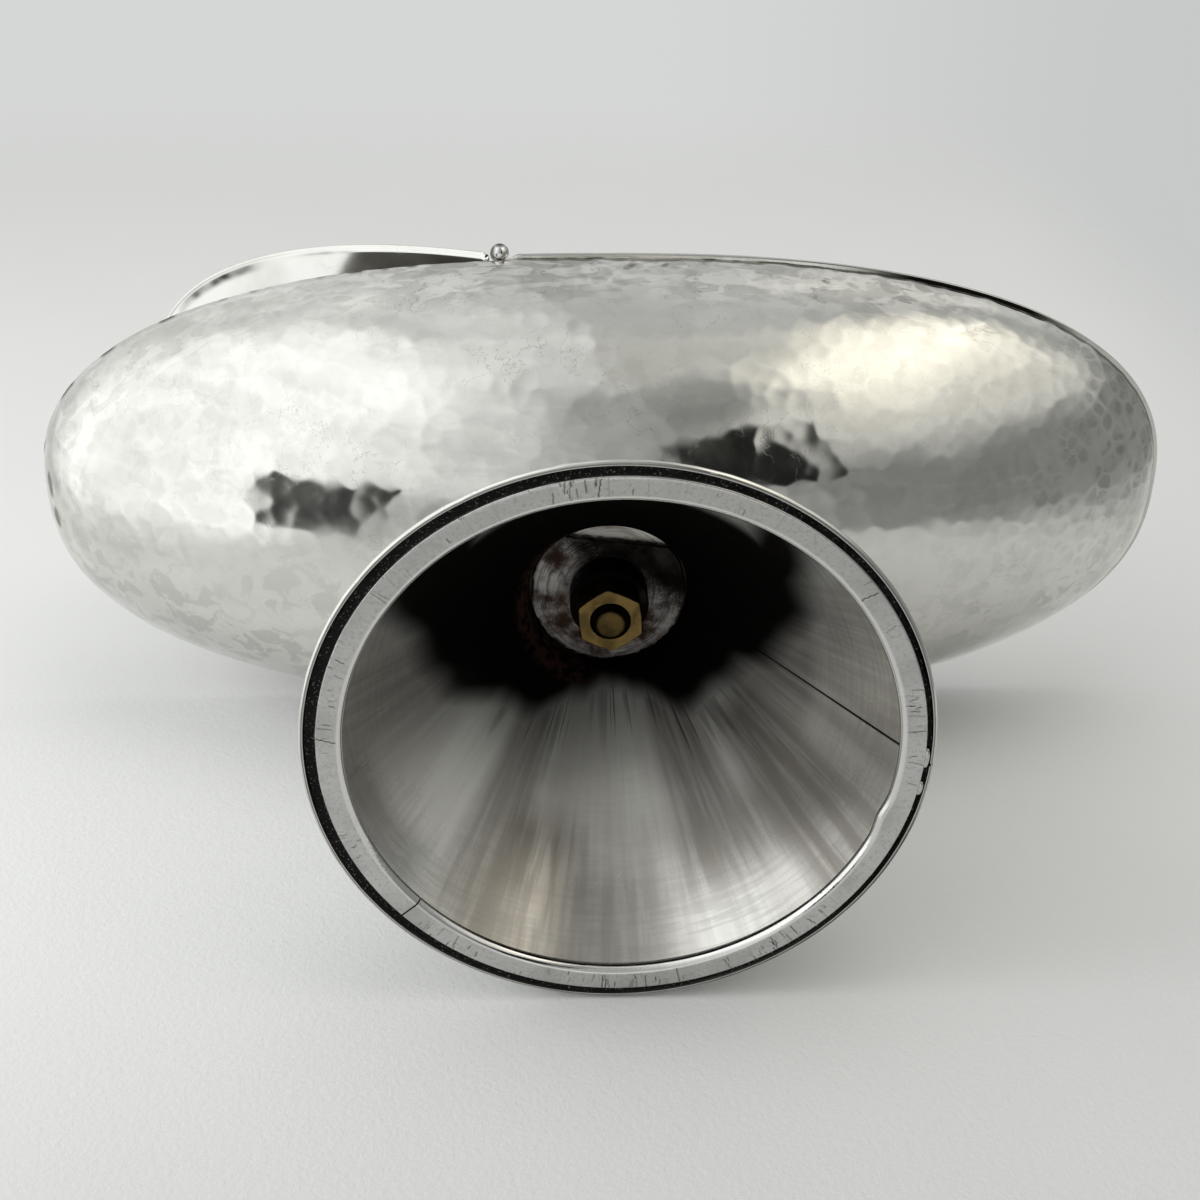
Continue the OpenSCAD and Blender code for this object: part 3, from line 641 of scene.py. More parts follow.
def makeBowl():
    draw = np.random.default_rng(bowl["seed"])
    columns, rows, insideRows = bowl["columns"], bowl["rows"], bowl["insideRows"]
    around = np.linspace(0, 2 * math.pi, 2001)
    angles = evenSteps(bowlSurface(1 + 0 * around, around, 0), columns + 1)[:-1] * 2 * math.pi
    dense = np.linspace(0, 1, 2000)
    side = [bowlSurface(dense, a + 0 * dense, 0) for a in (0.0, bowl["markTurn"], math.pi / 2)]
    steps = np.mean([evenSteps(path, rows) for path in side], axis=0)
    insideSteps = np.mean([evenSteps(path, insideRows) for path in side], axis=0)
    outside = bowlSurface(steps[:, None], angles[None, :], 0)
    normals = gridNormals(outside, True)
    if normals[-1, 0, 0] < 0:
        normals = -normals
    marks = bowlMarks(draw)

    def strong(points):
        # blows show most near the rim and at the two ends
        length = np.abs(points[..., 0]) / (bowl["length"] / 2)
        ends = smoothRamp(*bowl["endsFrom"], length) * np.where(points[..., 0] > 0, bowl["lidEnd"], 1.0)
        level = (points[..., 2] - bowl["floorHeight"]) / (bowl["rimHeight"] - bowl["floorHeight"])
        rim = smoothRamp(*bowl["rimFrom"], level) * np.where(points[..., 0] > 20, bowl["lidRim"], 1.0)
        return np.maximum(ends, rim)

    dish = bowl["middleDish"] + (bowl["endDish"] - bowl["middleDish"]) * strong(marks)
    dish *= draw.uniform(*bowl["dishSpread"], len(marks))
    depth = draw.uniform(0, bowl["markDepth"], len(marks))
    depth += draw.choice([0, bowl["deepBlow"]], len(marks), p=[1 - bowl["deepShare"], bowl["deepShare"]])
    low, hollow = hammerField(outside.reshape(-1, 3), marks, dish, depth, bowl["blur"])
    sink = np.minimum(low.reshape(rows, columns) - bowl["markTop"], 0)
    sink += np.minimum(ripple(outside, bowl["seed"], bowl["swellWave"], bowl["swell"]) - 2 * bowl["swell"], 0)
    outside = outside + normals * sink[..., None] * smoothRamp(0, 0.04, steps)[:, None, None]
    inside = bowlSurface(insideSteps[::-1, None], angles[None, :], bowl["wall"])
    inside[..., 2] = np.minimum(inside[..., 2], bowl["rimHeight"] - 0.02)
    # soft shoulders on the rim
    rimOut, rimIn = outside[-1].copy(), inside[0].copy()
    inside[0, :, 2] -= bowl["shoulder"]
    outside[-1, :, 2] -= bowl["shoulder"]
    rim = np.stack([rimOut + (rimIn - rimOut) * s for s in (0.16, 0.5, 0.84)])
    rim[..., 2] = bowl["rimHeight"] - bowl["rimSoft"] * np.array([1, 0, 1])[:, None]
    grid = np.concatenate([outside, rim, inside])
    total = len(grid)
    poles = np.array([(bowl["shift"], 0, bowl["floorHeight"] + lift) for lift in (0, bowl["wall"])])
    points = np.concatenate([grid.reshape(-1, 3), poles])
    faces = gridFaces(total, columns)
    count = total * columns
    faces += poleFaces(count, 0, columns, True)
    faces += poleFaces(count + 1, (total - 1) * columns, columns, False)
    shown = np.zeros(len(faces), int)
    shown[(rows + 2) * columns:total * columns - columns] = 1
    shown[-columns:] = 1
    piece = addPiece("hammeredBowl", points, faces, "boat", [hammeredSilver, stainedSilver],
                     ["bowl"], shown, 60)
    hollows = np.ones(len(points))
    hollows[:rows * columns] = hollow
    addValue(piece, "hollow", hollows)
    addValue(piece, "beaten", strong(points))
    # broken dark line of dirt just under the rim, and a full dark line along one stretch under the deck's overhang
    grimeAndPaintedDark = np.zeros((total, columns))
    edge = outside[-1]
    broken = smoothRamp(-0.1, 0.7, ripple(edge, bowl["seed"] + 3, bowl["brokenWave"], 1.0))
    lidSide = smoothRamp(*bowl["lidSide"], edge[:, 0])
    fullUnderDeck = between(edge[:, 0], *bowl["fullUnderDeck"]) * (edge[:, 1] > 0)
    spotted = between(edge[:, 0], *bowl["spotted"]) * (edge[:, 1] > 0)
    for row in range(rows - 14, rows - 3):  # dark hollows below the rim about the middle
        spots = smoothRamp(1.0, 1.5, ripple(outside[row], bowl["seed"] + 4, bowl["spotWave"], 1.0))
        grimeAndPaintedDark[row] = 0.5 * spots * spotted
    for row, share, wide in ((rows, 0.5, 0.6), (rows - 1, 0.9, 1.0), (rows - 2, 0.45, 0.8), (rows - 3, 0.1, 0.5),
                             (rows - 4, 0.0, 0.2)):
        line = (share + (wide - share) * lidSide) * np.maximum(broken, fullUnderDeck)
        grimeAndPaintedDark[row] = np.maximum(grimeAndPaintedDark[row], line)
    for place, reach in bowl["nicks"]:
        away = np.linalg.norm((outside - place) / reach, axis=-1)
        grimeAndPaintedDark[:rows] = np.maximum(grimeAndPaintedDark[:rows], 0.6 * smoothRamp(1.0, 0.6, away))
    addValue(piece, "grimeAndPaintedDark", np.r_[grimeAndPaintedDark.ravel(), 0, 0])
    return piece


makeBowl()
print("bowl hammered")

# deck and lid, two sheets on either side of the hinge

covers = {"halfX": 82.75, "halfY": 35.6, "shift": -0.3, "power": 2.44, "sheet": 0.9, "hingeX": 14.4, "hingeZ": 71.9,
          "hingeHalf": 35.383, "barrelHalf": 33.934, "knuckleGap": 0.3, "ajar": 30.5, "deckBottom": 70.6,
          "lidBottom": 70.85, "fileBack": 0.45, "filedReach": 2.0, "columns": 112, "deckRows": 190, "lidRows": 140,
          "crowding": 0.93, "snug": 1.25, "roomy": 1.7, "knobX": 70.45, "lidBevel": 0.32, "topSoft": -0.16,
          "underSoft": 0.10, "markSpacing": 2.8, "rowSpacing": 0.87, "blur": 0.9, "dish": (40.0, 90.0),
          "markDepth": 0.014, "markTop": 0.045, "swellWave": 12.0, "swell": 0.03, "beaten": 0.8,
          "underWave": 16.0, "underSwell": 0.006, "deckSeed": 21, "lidSeed": 22,
          # two stretches of painted dark reflection inside the lid's edge, and where the darkening under the deck's
          # overhang is thickest
          "lidReflectionStreaks": ((55, 61, 70, 76), (37, 43, 46, 52)), "deckUnderDark": (-52, 15)}
covers["knuckle"] = (2 * covers["barrelHalf"] - 4 * covers["knuckleGap"]) / 5
lidTurn = (Matrix.Translation((covers["hingeX"], 0, covers["hingeZ"]))
           @ Matrix.Rotation(math.radians(-covers["ajar"]), 4, "Y")
           @ Matrix.Translation((-covers["hingeX"], 0, -covers["hingeZ"])))


def atLid(points):
    turn = np.array(lidTurn)
    return points @ turn[:3, :3].T + turn[:3, 3]


def knuckleStart(i):
    return -covers["barrelHalf"] + i * (covers["knuckle"] + covers["knuckleGap"])


def coverHalf(x):
    along = np.abs(x - covers["shift"]) / covers["halfX"]
    half = covers["halfY"] * np.maximum(1 - along ** covers["power"], 0) ** (1 / covers["power"])
    near = np.abs(x - covers["hingeX"])
    return half - covers["fileBack"] * smoothRamp(covers["filedReach"] + 0.3, covers["filedReach"] - 0.1, near)


def coverInset(points):
    # distance to the outline of the covers
    power = covers["power"]
    along = np.abs(points[..., 0] - covers["shift"]) / covers["halfX"]
    across = np.abs(points[..., 1]) / covers["halfY"]
    size = np.maximum((along ** power + across ** power) ** (1 / power), 1e-6)
    slope = np.hypot((along / size) ** (power - 1) / covers["halfX"], (across / size) ** (power - 1) / covers["halfY"])
    return (1 - size) / slope


def makeCover(name, side, bottom, rows, ownFirst, seed):
    draw = np.random.default_rng(seed)
    columns = covers["columns"]
    crowded = math.pi / 2 * covers["crowding"]
    share = np.sin(np.linspace(-1, 1, columns) * crowded) / math.sin(crowded)
    edgeY = share * (covers["hingeHalf"] - covers["fileBack"])
    own = np.zeros(columns, bool)
    for i in range(ownFirst, 5, 2):
        start = knuckleStart(i)
        own |= (edgeY >= start - 0.05) & (edgeY <= start + covers["knuckle"] + 0.05)

    def notch(z):
        snug, roomy = (np.sqrt(max(covers[fit] ** 2 - (z - covers["hingeZ"]) ** 2, 0.09)) for fit in ("snug", "roomy"))
        return covers["hingeX"] + side * np.where(own, snug, roomy)

    tip = covers["shift"] + side * covers["halfX"] * 0.9999
    dense = np.linspace(0, 1, 4000)
    pathX = covers["hingeX"] + side * 1.5 + (tip - covers["hingeX"] - side * 1.5) * (1 - (1 - dense) ** 3)
    path = np.stack([pathX, coverHalf(pathX)], -1)
    steps = 1 - (1 - evenSteps(path, rows)) ** 3

    def sheetGrid(z):
        x0 = notch(z)[None, :]
        x = x0 + (tip - x0) * steps[:, None]
        y = share[None, :] * coverHalf(x)
        return np.stack([x, y, z + 0 * x], -1)

    top, under = sheetGrid(bottom + covers["sheet"]), sheetGrid(bottom)
    marks = []
    for x in np.arange(-83, 83, covers["markSpacing"] * covers["rowSpacing"]):
        for y in np.arange(-36, 36, covers["markSpacing"]):
            spot = np.array([x, y]) + draw.uniform(-0.45, 0.45, 2) * covers["markSpacing"]
            marks.append((spot[0], spot[1], bottom + covers["sheet"]))
    marks = np.array(marks)
    dish = draw.uniform(*covers["dish"], len(marks))
    depth = draw.uniform(0, covers["markDepth"], len(marks))
    low, hollow = hammerField(top.reshape(-1, 3), marks, dish, depth, covers["blur"])
    top[..., 2] += np.minimum(low.reshape(top.shape[:2]) - covers["markTop"], 0)
    top[..., 2] += np.minimum(ripple(top, seed, covers["swellWave"], covers["swell"]) - 2 * covers["swell"], 0)
    swell = ripple(under, seed + 1, covers["underWave"], covers["underSwell"])
    under[..., 2] += np.maximum(swell + 2 * covers["underSwell"], 0)
    if side > 0:
        under[..., 2] += covers["lidBevel"] * smoothRamp(0.75, 0.15, coverInset(under))
    for grid, drop in ((top, covers["topSoft"]), (under, covers["underSoft"])):  # rounded edges
        for border in (grid[:, 0], grid[:, -1], grid[-1], grid[0]):
            border[:, 2] += drop
    count = rows * columns
    loop = ([i * columns for i in range(rows)] + [(rows - 1) * columns + j for j in range(1, columns)]
            + [i * columns + columns - 1 for i in range(rows - 2, -1, -1)] + list(range(columns - 2, 0, -1)))
    faces = gridFaces(rows, columns, wrapColumns=False)
    faces += [tuple(reversed(f)) for f in gridFaces(rows, columns, wrapColumns=False, first=count)]
    for a, b in zip(loop, loop[1:] + loop[:1]):
        faces.append((a, a + count, b + count, b))
    shown = np.zeros(len(faces), int)
    flat = (rows - 1) * (columns - 1)
    shown[flat:2 * flat] = 1 if side > 0 else 0
    points = np.concatenate([top.reshape(-1, 3), under.reshape(-1, 3)])
    # darkening under the deck's overhang, and painted dark reflection in streaks inside the lid's edge
    inset = coverInset(points)
    if side > 0:
        long, short = (between(points[:, 0], *stretch) for stretch in covers["lidReflectionStreaks"])
        uneven = 0.75 + ripple(points, seed + 5, 3.0, 0.25)
        grimeAndPaintedDark = long * smoothRamp(2.3, 1.3, inset) + 0.75 * short * smoothRamp(1.3, 0.8, inset)
        grimeAndPaintedDark = np.clip(smoothRamp(0.6, 0.9, inset) * grimeAndPaintedDark * uneven, 0, 1) * (points[:, 1] > 0)
    else:
        middle, half = covers["deckUnderDark"]
        stretch = np.exp(-((points[:, 0] - middle) / half) ** 4) * (points[:, 1] > 0) + 0.12
        grimeAndPaintedDark = np.clip(smoothRamp(1.6, 0.5, inset) * stretch, 0, 1)
        grimeAndPaintedDark[np.array(loop) + count] = 0
    grimeAndPaintedDark[:count] = 0
    hollows = np.ones(len(points))
    hollows[:count] = hollow
    beaten = np.zeros(len(points))
    beaten[:count] = covers["beaten"]
    if side > 0:
        points = atLid(points)
    piece = addPiece(name, points, faces, "lid" if side > 0 else "boat",
                     [hammeredSilver, smoothSilver], ["lid" if side > 0 else "deck"], shown, 50)
    addValue(piece, "hollow", hollows)
    addValue(piece, "beaten", beaten)
    addValue(piece, "grimeAndPaintedDark", grimeAndPaintedDark)
    return piece


makeCover("hammeredDeck", -1, covers["deckBottom"], covers["deckRows"], 0, covers["deckSeed"])
makeCover("hammeredLid", 1, covers["lidBottom"], covers["lidRows"], 1, covers["lidSeed"])
print("deck and lid hammered")

# turned pieces share one lathe


def lathe(profile, angles, closed):
    # rows of the profile, given as radius and height, around Z
    profile = np.asarray(profile, float)
    rings = ringPoints(profile[:, 0:1], angles, profile[:, 1:2])
    return rings, gridFaces(len(profile), len(angles), wrapRows=closed)


def addTurned(name, profile, body, material, nodes, columns=96, place=None, sharp=40):
    # a profile that starts and ends on the axis closes there
    angles = np.linspace(0, 2 * math.pi, columns, endpoint=False)
    profile = list(profile)
    starts, ends = profile[0][0] == 0, profile[-1][0] == 0
    body0 = profile[1 if starts else 0:len(profile) - 1 if ends else len(profile)]
    rings, faces = lathe(body0, angles, not (starts or ends))
    points = rings.reshape(-1, 3)
    count = len(points)
    if starts:
        points = np.concatenate([points, [[0, 0, profile[0][1]]]])
        faces += poleFaces(len(points) - 1, 0, columns, True)
    if ends:
        points = np.concatenate([points, [[0, 0, profile[-1][1]]]])
        faces += poleFaces(len(points) - 1, count - columns, columns, False)
    if place is not None:
        points = place(points)
    return addPiece(name, points, faces, body, [material], nodes, sharp=sharp)


def arcPath(centre, radius, start, stop, count):
    turns = np.radians(np.linspace(start, stop, count))
    return [(centre[0] + radius * math.cos(t), centre[1] + radius * math.sin(t)) for t in turns]


# the trumpet foot

foot = {"height": 41.0, "mouth": 34.85, "sheet": 0.7, "neck": 10.5, "neckLength": 5.4, "blend": 9.0, "lipLift": 0.15,
        "lipSoft": 0.12, "columns": 520, "seamTurn": -177.0, "seamWidth": 0.017, "seamDepth": 0.14, "markSpacing": 2.6,
        "blur": 0.8, "dish": (30.0, 60.0), "markDepth": 0.012, "markTop": 0.07, "beaten": 0.8, "seed": 31,
        # long hollows by seed, wave length and height, the heights they reach, and the lip's dirty stretch in degrees
        "wrinkle": (5, 3.2, 0.02), "hollows": (1.5, 6, 30, 36), "dirtyLip": (-172, -160, -112, -98)}
foot["corner"] = foot["height"] - foot["neckLength"]
foot["lean"] = math.atan((foot["mouth"] - foot["neck"]) / (foot["corner"] - foot["lipLift"]))


def footProfile(away, rows):
    # one skin of the sheet from lip to neck, away from the inner face
    radius = foot["blend"] - away
    centre = (foot["neck"] + foot["blend"], foot["corner"] + foot["blend"] * math.tan(foot["lean"] / 2))
    turns = np.linspace(foot["lean"], 0, 40)
    arc = np.stack([centre[0] - radius * np.cos(turns), centre[1] - radius * np.sin(turns)], -1)
    lip = (foot["mouth"] + away * math.cos(foot["lean"]), foot["lipLift"] + away * math.sin(foot["lean"]))
    share = np.linspace(0, 1, 200)[:-1, None]
    path = np.concatenate([np.array(lip) * (1 - share) + arc[0] * share, arc,
                           [(foot["neck"] + away, foot["height"])]])
    lengths = pathLengths(path)
    spots = np.linspace(0, lengths[-1], rows)
    return np.stack([np.interp(spots, lengths, path[:, k]) for k in (0, 1)], -1)


def makeFoot():
    draw = np.random.default_rng(foot["seed"])
    seam = math.radians(foot["seamTurn"])
    angles = np.linspace(0, 2 * math.pi, foot["columns"], endpoint=False) + seam + math.pi / foot["columns"]
    slit = np.array([-3, -1, -0.45, 0.45, 1, 3]) * foot["seamWidth"] / 2 + seam
    angles = np.sort(np.concatenate([angles, slit]))
    inner, outer = footProfile(0, 96), footProfile(foot["sheet"], 84)
    innerRings, _ = lathe(inner, angles, False)
    outerRings, _ = lathe(outer[::-1], angles, False)
    # long hollows left by raising the sheet over a stake, and the open seam
    wrinkle = ripple(ringPoints(9, angles, 0), *foot["wrinkle"])
    fade = between(inner[:, 1], *foot["hollows"])
    gap = np.abs(angles - seam) < foot["seamWidth"] * 0.3
    away = np.clip(wrinkle + 0.04, 0, 0.15)[None, :] * fade[:, None] + foot["seamDepth"] * gap[None, :]
    innerRings[..., :2] += outward(innerRings) * away[..., None]
    # hammer marks on the outside
    marks = []
    for radius, tall in footProfile(foot["sheet"], 26):
        count = max(10, int(2 * math.pi * radius / foot["markSpacing"]))
        turns = (np.arange(count) + draw.uniform(-0.4, 0.4, count) + draw.uniform()) * 2 * math.pi / count
        rise = tall + draw.uniform(-0.8, 0.8, count)
        grow = radius - (rise - tall) * math.tan(foot["lean"])
        marks.append(ringPoints(grow, turns, rise))
    marks = np.concatenate(marks)
    dish = draw.uniform(*foot["dish"], len(marks))
    depth = draw.uniform(0, foot["markDepth"], len(marks))
    low, hollow = hammerField(outerRings.reshape(-1, 3), marks, dish, depth, foot["blur"])
    dip = np.minimum(low.reshape(outerRings.shape[:2]) - foot["markTop"], 0)
    outerRings[..., :2] += outward(outerRings) * dip[..., None]
    # soft lip
    lipIn, lipOut = innerRings[0].copy(), outerRings[-1].copy()
    for rings, k, wall in ((innerRings, 0, inner), (outerRings, -1, outer)):
        step = (wall[1] - wall[0]) / np.linalg.norm(wall[1] - wall[0]) * foot["lipSoft"]
        rings[k] += ringPoints(step[0], angles, step[1])
    lip = np.stack([lipOut + (lipIn - lipOut) * share for share in (0.2, 0.5, 0.8)])
    grid = np.concatenate([innerRings, outerRings, lip])
    rows, columns = grid.shape[:2]
    faces = gridFaces(rows, columns, wrapRows=True)
    shown = np.ones(len(faces), int)
    shown[:(len(inner) - 1) * columns] = 0
    piece = addPiece("trumpetFoot", grid, faces, "boat", [satinSilver, hammeredSilver],
                     ["foot_cone"], shown, 45)
    values = {name: np.zeros((rows, columns)) for name in ("inside", "seam", "hollow", "beaten", "grimeAndPaintedDark")}
    values["inside"][:len(inner)] = 1
    values["seam"][:len(inner)] = gap
    values["seam"][:6] = 1  # painted shade on the lip's inner wall by the dirty groove
    values["hollow"] += 1
    values["hollow"][len(inner):-3] = hollow.reshape(outerRings.shape[:2])
    values["beaten"][len(inner):-3] = foot["beaten"]
    turns = (np.degrees(angles) + 180) % 360 - 180
    values["grimeAndPaintedDark"][-4:] = 0.85 * between(turns, *foot["dirtyLip"])
    # painted shade: the lip row next to the groove is dark all round
    values["grimeAndPaintedDark"][-1] = np.maximum(values["grimeAndPaintedDark"][-1], 0.8)
    for name, value in values.items():
        addValue(piece, name, value)
    return piece


makeFoot()
print("foot raised")

# base ring, its groove and the solder that crosses it

ring = {"outer": 33.75, "inner": 30.8, "height": 2.6, "bevel": 0.7, "step": 0.3, "undercut": 1.2, "shift": -0.35,
        "jointTurn": -41.0, "joint": 0.2, "columns": 1500, "seed": 41,
        # nicks, the knock on the inner edge by turn, half width and height, and swells by seed, wave length and height
        "nicks": 120, "clusters": 34, "clusterHalf": 14, "nickDepth": 0.06, "knock": (197, 3.5, 0.35),
        "wave": (6, 16.0, 0.05), "dents": (9, 3.0, 0.012)}


def coneRadius(z):
    return foot["mouth"] - (z - foot["lipLift"]) * math.tan(foot["lean"])


def makeBaseRing():
    draw = np.random.default_rng(ring["seed"])
    half = ring["joint"] / 2 / ring["inner"]
    start = math.radians(ring["jointTurn"])
    angles = np.linspace(start + half, start + 2 * math.pi - half, ring["columns"])
    wave = ripple(ringPoints(30, angles, 0), *ring["wave"])
    turn, wide, high = ring["knock"]
    knock = high * np.exp(-((np.degrees(angles) % 360 - turn) / wide) ** 2)
    innerEdge = ring["inner"] - knock + wave * 0.5
    bevel, outer = ring["bevel"], ring["outer"]
    rows = [(innerEdge + ring["undercut"], ring["height"]), (innerEdge + 0.06, bevel + ring["step"]),
            (innerEdge, bevel + 0.08), (innerEdge + 0.06, bevel - 0.16), (innerEdge + bevel * 0.45, 0.22),
            (innerEdge + bevel - 0.10, 0.05), (innerEdge + bevel + 0.10, 0.0)]
    rows += [(innerEdge + bevel + share * (outer - innerEdge - bevel), 0.0) for share in np.linspace(0.12, 0.9, 9)]
    rows += [(outer - 0.08, 0.02), (outer, 0.10), (outer, 0.8)]
    grid = ringGrid(rows, angles, ring["shift"])
    for z in (1.2, ring["height"]):  # the back edge follows the cone
        row = ringPoints(outer, angles, z, ring["shift"])
        far = np.linalg.norm(row[:, :2], axis=-1)
        row[:, :2] *= (np.minimum(far, coneRadius(z) - 0.06) / far)[:, None]
        grid = np.concatenate([grid, row[None]])
    # file nicks across the face, some in clusters
    nick = np.zeros(grid.shape[:2])
    centres = draw.uniform(0, ring["columns"], ring["clusters"])
    for _ in range(ring["nicks"]):
        column = int(draw.choice(centres) + draw.normal(0, ring["clusterHalf"])) % ring["columns"]
        first, last = sorted(draw.integers(6, 17, 2))
        strong = draw.uniform(0.3, 1.0)
        lean = draw.integers(-1, 2)
        for row in range(first, max(last, first + 2) + 1):
            at = (column + lean * (row - first) // 3) % ring["columns"]
            nick[row, at] = max(nick[row, at], strong)
    grid[..., 2] += nick * ring["nickDepth"]
    grid[:17, :, 2] += np.clip(ripple(grid[:17], *ring["dents"]), 0, 0.05)
    total, columns = grid.shape[:2]
    faces = gridFaces(total, columns, wrapRows=True, wrapColumns=False)
    faces.append(tuple(i * columns for i in range(total)))
    faces.append(tuple((total - 1 - i) * columns + columns - 1 for i in range(total)))
    piece = addPiece("filedBaseRing", grid, faces, "boat", [ringSilver], ["foot_base_ring"],
                     sharp=50)
    dark = nick.copy()
    dark[-3:] = 0.9  # painted shade on the outer wall, which lies in the dirty groove
    addValue(piece, "nick", dark)
    # painted highlight on the inner bevel, which is also polished smoother
    polishAndHighlight = np.zeros(nick.shape)
    polishAndHighlight[2:6] = 1
    addValue(piece, "polishAndHighlight", polishAndHighlight)
    return piece


groove = {"height": 0.62, "swell": (12, 3.0, 0.10), "grain": 0.05, "back": 0.30, "clear": 0.015, "columns": 1000,
          "rows": ((0.0, -0.12), (0.25, 0.03), (0.5, 0.06), (0.75, 0.03), (1.0, -0.14)), "seed": 43}


def makeGroove():
    # old polish packed in the groove, a little below the lip
    draw = np.random.default_rng(groove["seed"])
    angles = np.linspace(0, 2 * math.pi, groove["columns"], endpoint=False)
    low = groove["height"] + np.clip(ripple(ringPoints(34, angles, 0), *groove["swell"]), -0.25, 0.3)
    inner = ring["outer"] + ring["shift"] * np.cos(angles) + 0.01

    def fillingRow(share, z):
        return ringPoints(inner + share * np.maximum(coneRadius(z) - groove["clear"] - inner, 0.02), angles, z)

    rows = []
    for share, drop in groove["rows"]:
        rough = draw.uniform(-groove["grain"], groove["grain"], len(angles)) * (0 < share < 1)
        rows.append(fillingRow(share, low + drop + rough))
    grid = np.stack(rows + [fillingRow(share, low + groove["back"]) for share in (1.0, 0.0)])
    return addPiece("grooveDirt", grid, gridFaces(len(grid), len(angles), wrapRows=True), "boat",
                    [creviceDirt], sharp=80)


solder = {"bridges": ((-178.3, 2.2), (-171.5, 1.6)), "steps": 16, "around": 10}  # turn and half width


def makeSolder():
    points, faces = [], []
    total, count = solder["steps"], solder["around"]
    for turn, half in solder["bridges"]:
        faces += gridFaces(total, count, first=len(points)) + capFaces(total, count, len(points))
        for step in np.linspace(-1, 1, total):
            angle = math.radians(turn + half * step)
            plump = math.sqrt(max(1 - step * step, 0.0))
            inner = ring["outer"] + ring["shift"] * math.cos(angle) - 0.25
            outer = foot["mouth"] - 0.12
            middle, wide = (inner + outer) / 2, (outer - inner) / 2 * (0.35 + 0.65 * plump)
            for k in range(count):
                a = 2 * math.pi * k / count
                r = middle + wide * math.cos(a)
                z = 0.45 + (0.02 + 0.36 * plump) * math.sin(a)
                points.append((r * math.cos(angle), r * math.sin(angle), z))
    piece = addPiece("solderBridges", points, faces, "boat", [ringSilver], sharp=70)
    addValue(piece, "nick", np.zeros(len(points)))
    return piece


makeBaseRing()
makeGroove()
makeSolder()
print("base ring filed and soldered")

# the clamp in the neck

clamp = {"floor": 41.0, "flange": 8.0, "flangeSheet": 1.0, "plateSheet": 0.9, "washerSheet": 1.0, "bush": 5.1,
         "bushLength": 3.9, "nutFlats": 8.0, "nutHeight": 4.0, "nutTurn": -5.5, "stud": 2.5, "hole": 2.55, "proud": 1.0,
         "washerFlat": 7.4, "washerTurn": 97.0, "washerGap": 0.3, "washerSeed": 51,
         # swells of the washer by seed, wave length and height, wear of the nut, and the stud's thread
         "chips": (52, 1.6, 0.10), "dents": (53, 2.4, 0.03), "crownFrom": 4.05, "crownSlope": 0.55, "nutSink": 0.07,
         "cornerWear": 0.12, "pitch": 0.8, "root": 2.18, "crest": 2.46}
clamp["plateZ"] = clamp["floor"] - clamp["flangeSheet"] - clamp["plateSheet"]
clamp["washerZ"] = clamp["plateZ"] - clamp["washerSheet"]
clamp["bushZ"] = clamp["washerZ"] - clamp["bushLength"]
clamp["nutZ"] = clamp["bushZ"] - clamp["nutHeight"]


def ringProfile(inner, outer, low, high, soft):
    return [(inner, low + soft), (inner + soft, low), (outer - soft, low), (outer, low + soft),
            (outer, high - soft), (outer - soft, high), (inner + soft, high), (inner, high - soft)]


def makeWasher():
    # rough-cut disc with one flat side
    draw = np.random.default_rng(clamp["washerSeed"])
    angles = np.linspace(0, 2 * math.pi, 360, endpoint=False)
    reach = foot["neck"] - clamp["washerGap"]
    flat = clamp["washerFlat"] / np.maximum(np.cos(angles - math.radians(clamp["washerTurn"])), 1e-3)
    outer = np.where(flat > 0, np.minimum(reach, np.where(flat > 0, flat, 1e9)), reach)
    chips = np.clip(ripple(ringPoints(10, angles, 0), *clamp["chips"]), -0.05, 0.3)
    outer = outer - chips - draw.uniform(0, 0.04, len(angles))
    low, high = clamp["washerZ"], clamp["washerZ"] + clamp["washerSheet"]
    hole = clamp["hole"]
    rows = [(hole, low + 0.08)] + [(hole + share * (outer - hole), low) for share in np.linspace(0.02, 0.94, 14)]
    rows += [(outer - 0.14, low + 0.02), (outer, low + 0.16), (outer, high - 0.1), (outer - 0.1, high), (hole, high)]
    grid = ringGrid(rows, angles)
    grid[1:16, :, 2] += np.clip(ripple(grid[1:16], *clamp["dents"]), 0, 0.1)
    return addPiece("roughWasher", grid, gridFaces(len(grid), len(angles), wrapRows=True), "boat",
                    [washerTarnish], ["clamp_washer"])


def makeNut():
    # hexagon with worn corners and a countersunk hole
    count = 180
    angles = np.linspace(0, 2 * math.pi, count, endpoint=False)
    side = math.pi / 3
    offset = (angles - math.radians(clamp["nutTurn"]) - side / 2) % side - side / 2
    flat = clamp["nutFlats"] / 2 / np.cos(offset)
    corner = clamp["nutFlats"] / 2 / math.cos(side / 2) - clamp["cornerWear"]
    outer = np.minimum(flat, corner)
    low, high = clamp["nutZ"], clamp["nutZ"] + clamp["nutHeight"]
    crown = np.maximum(outer - clamp["crownFrom"], 0) * clamp["crownSlope"]
    hole, sink = clamp["hole"], clamp["hole"] + clamp["nutSink"]
    rows = [(hole, low + 0.62), (hole, low + 0.3), (hole + 0.01, low + 0.06), (sink, low)]
    rows += [(sink + share * (outer - sink), low) for share in (0.25, 0.5, 0.75, 0.9)]
    rows += [(outer - 0.10, low + crown * 0.7), (outer, low + crown + 0.08), (outer, high - 0.1), (outer - 0.1, high),
             (hole, high)]
    grid = ringGrid(rows, angles)
    piece = addPiece("wornNut", grid, gridFaces(len(grid), count, wrapRows=True), "boat", [wornBrass],
                     ["clamp_nut"], sharp=25)
    dark = np.zeros(grid.shape[:2])
    # painted shade in the hole
    dark[0:3] = 1
    dark[9:] = 0.85  # painted shade on the sides
    addValue(piece, "grimeAndPaintedDark", dark)
    return piece


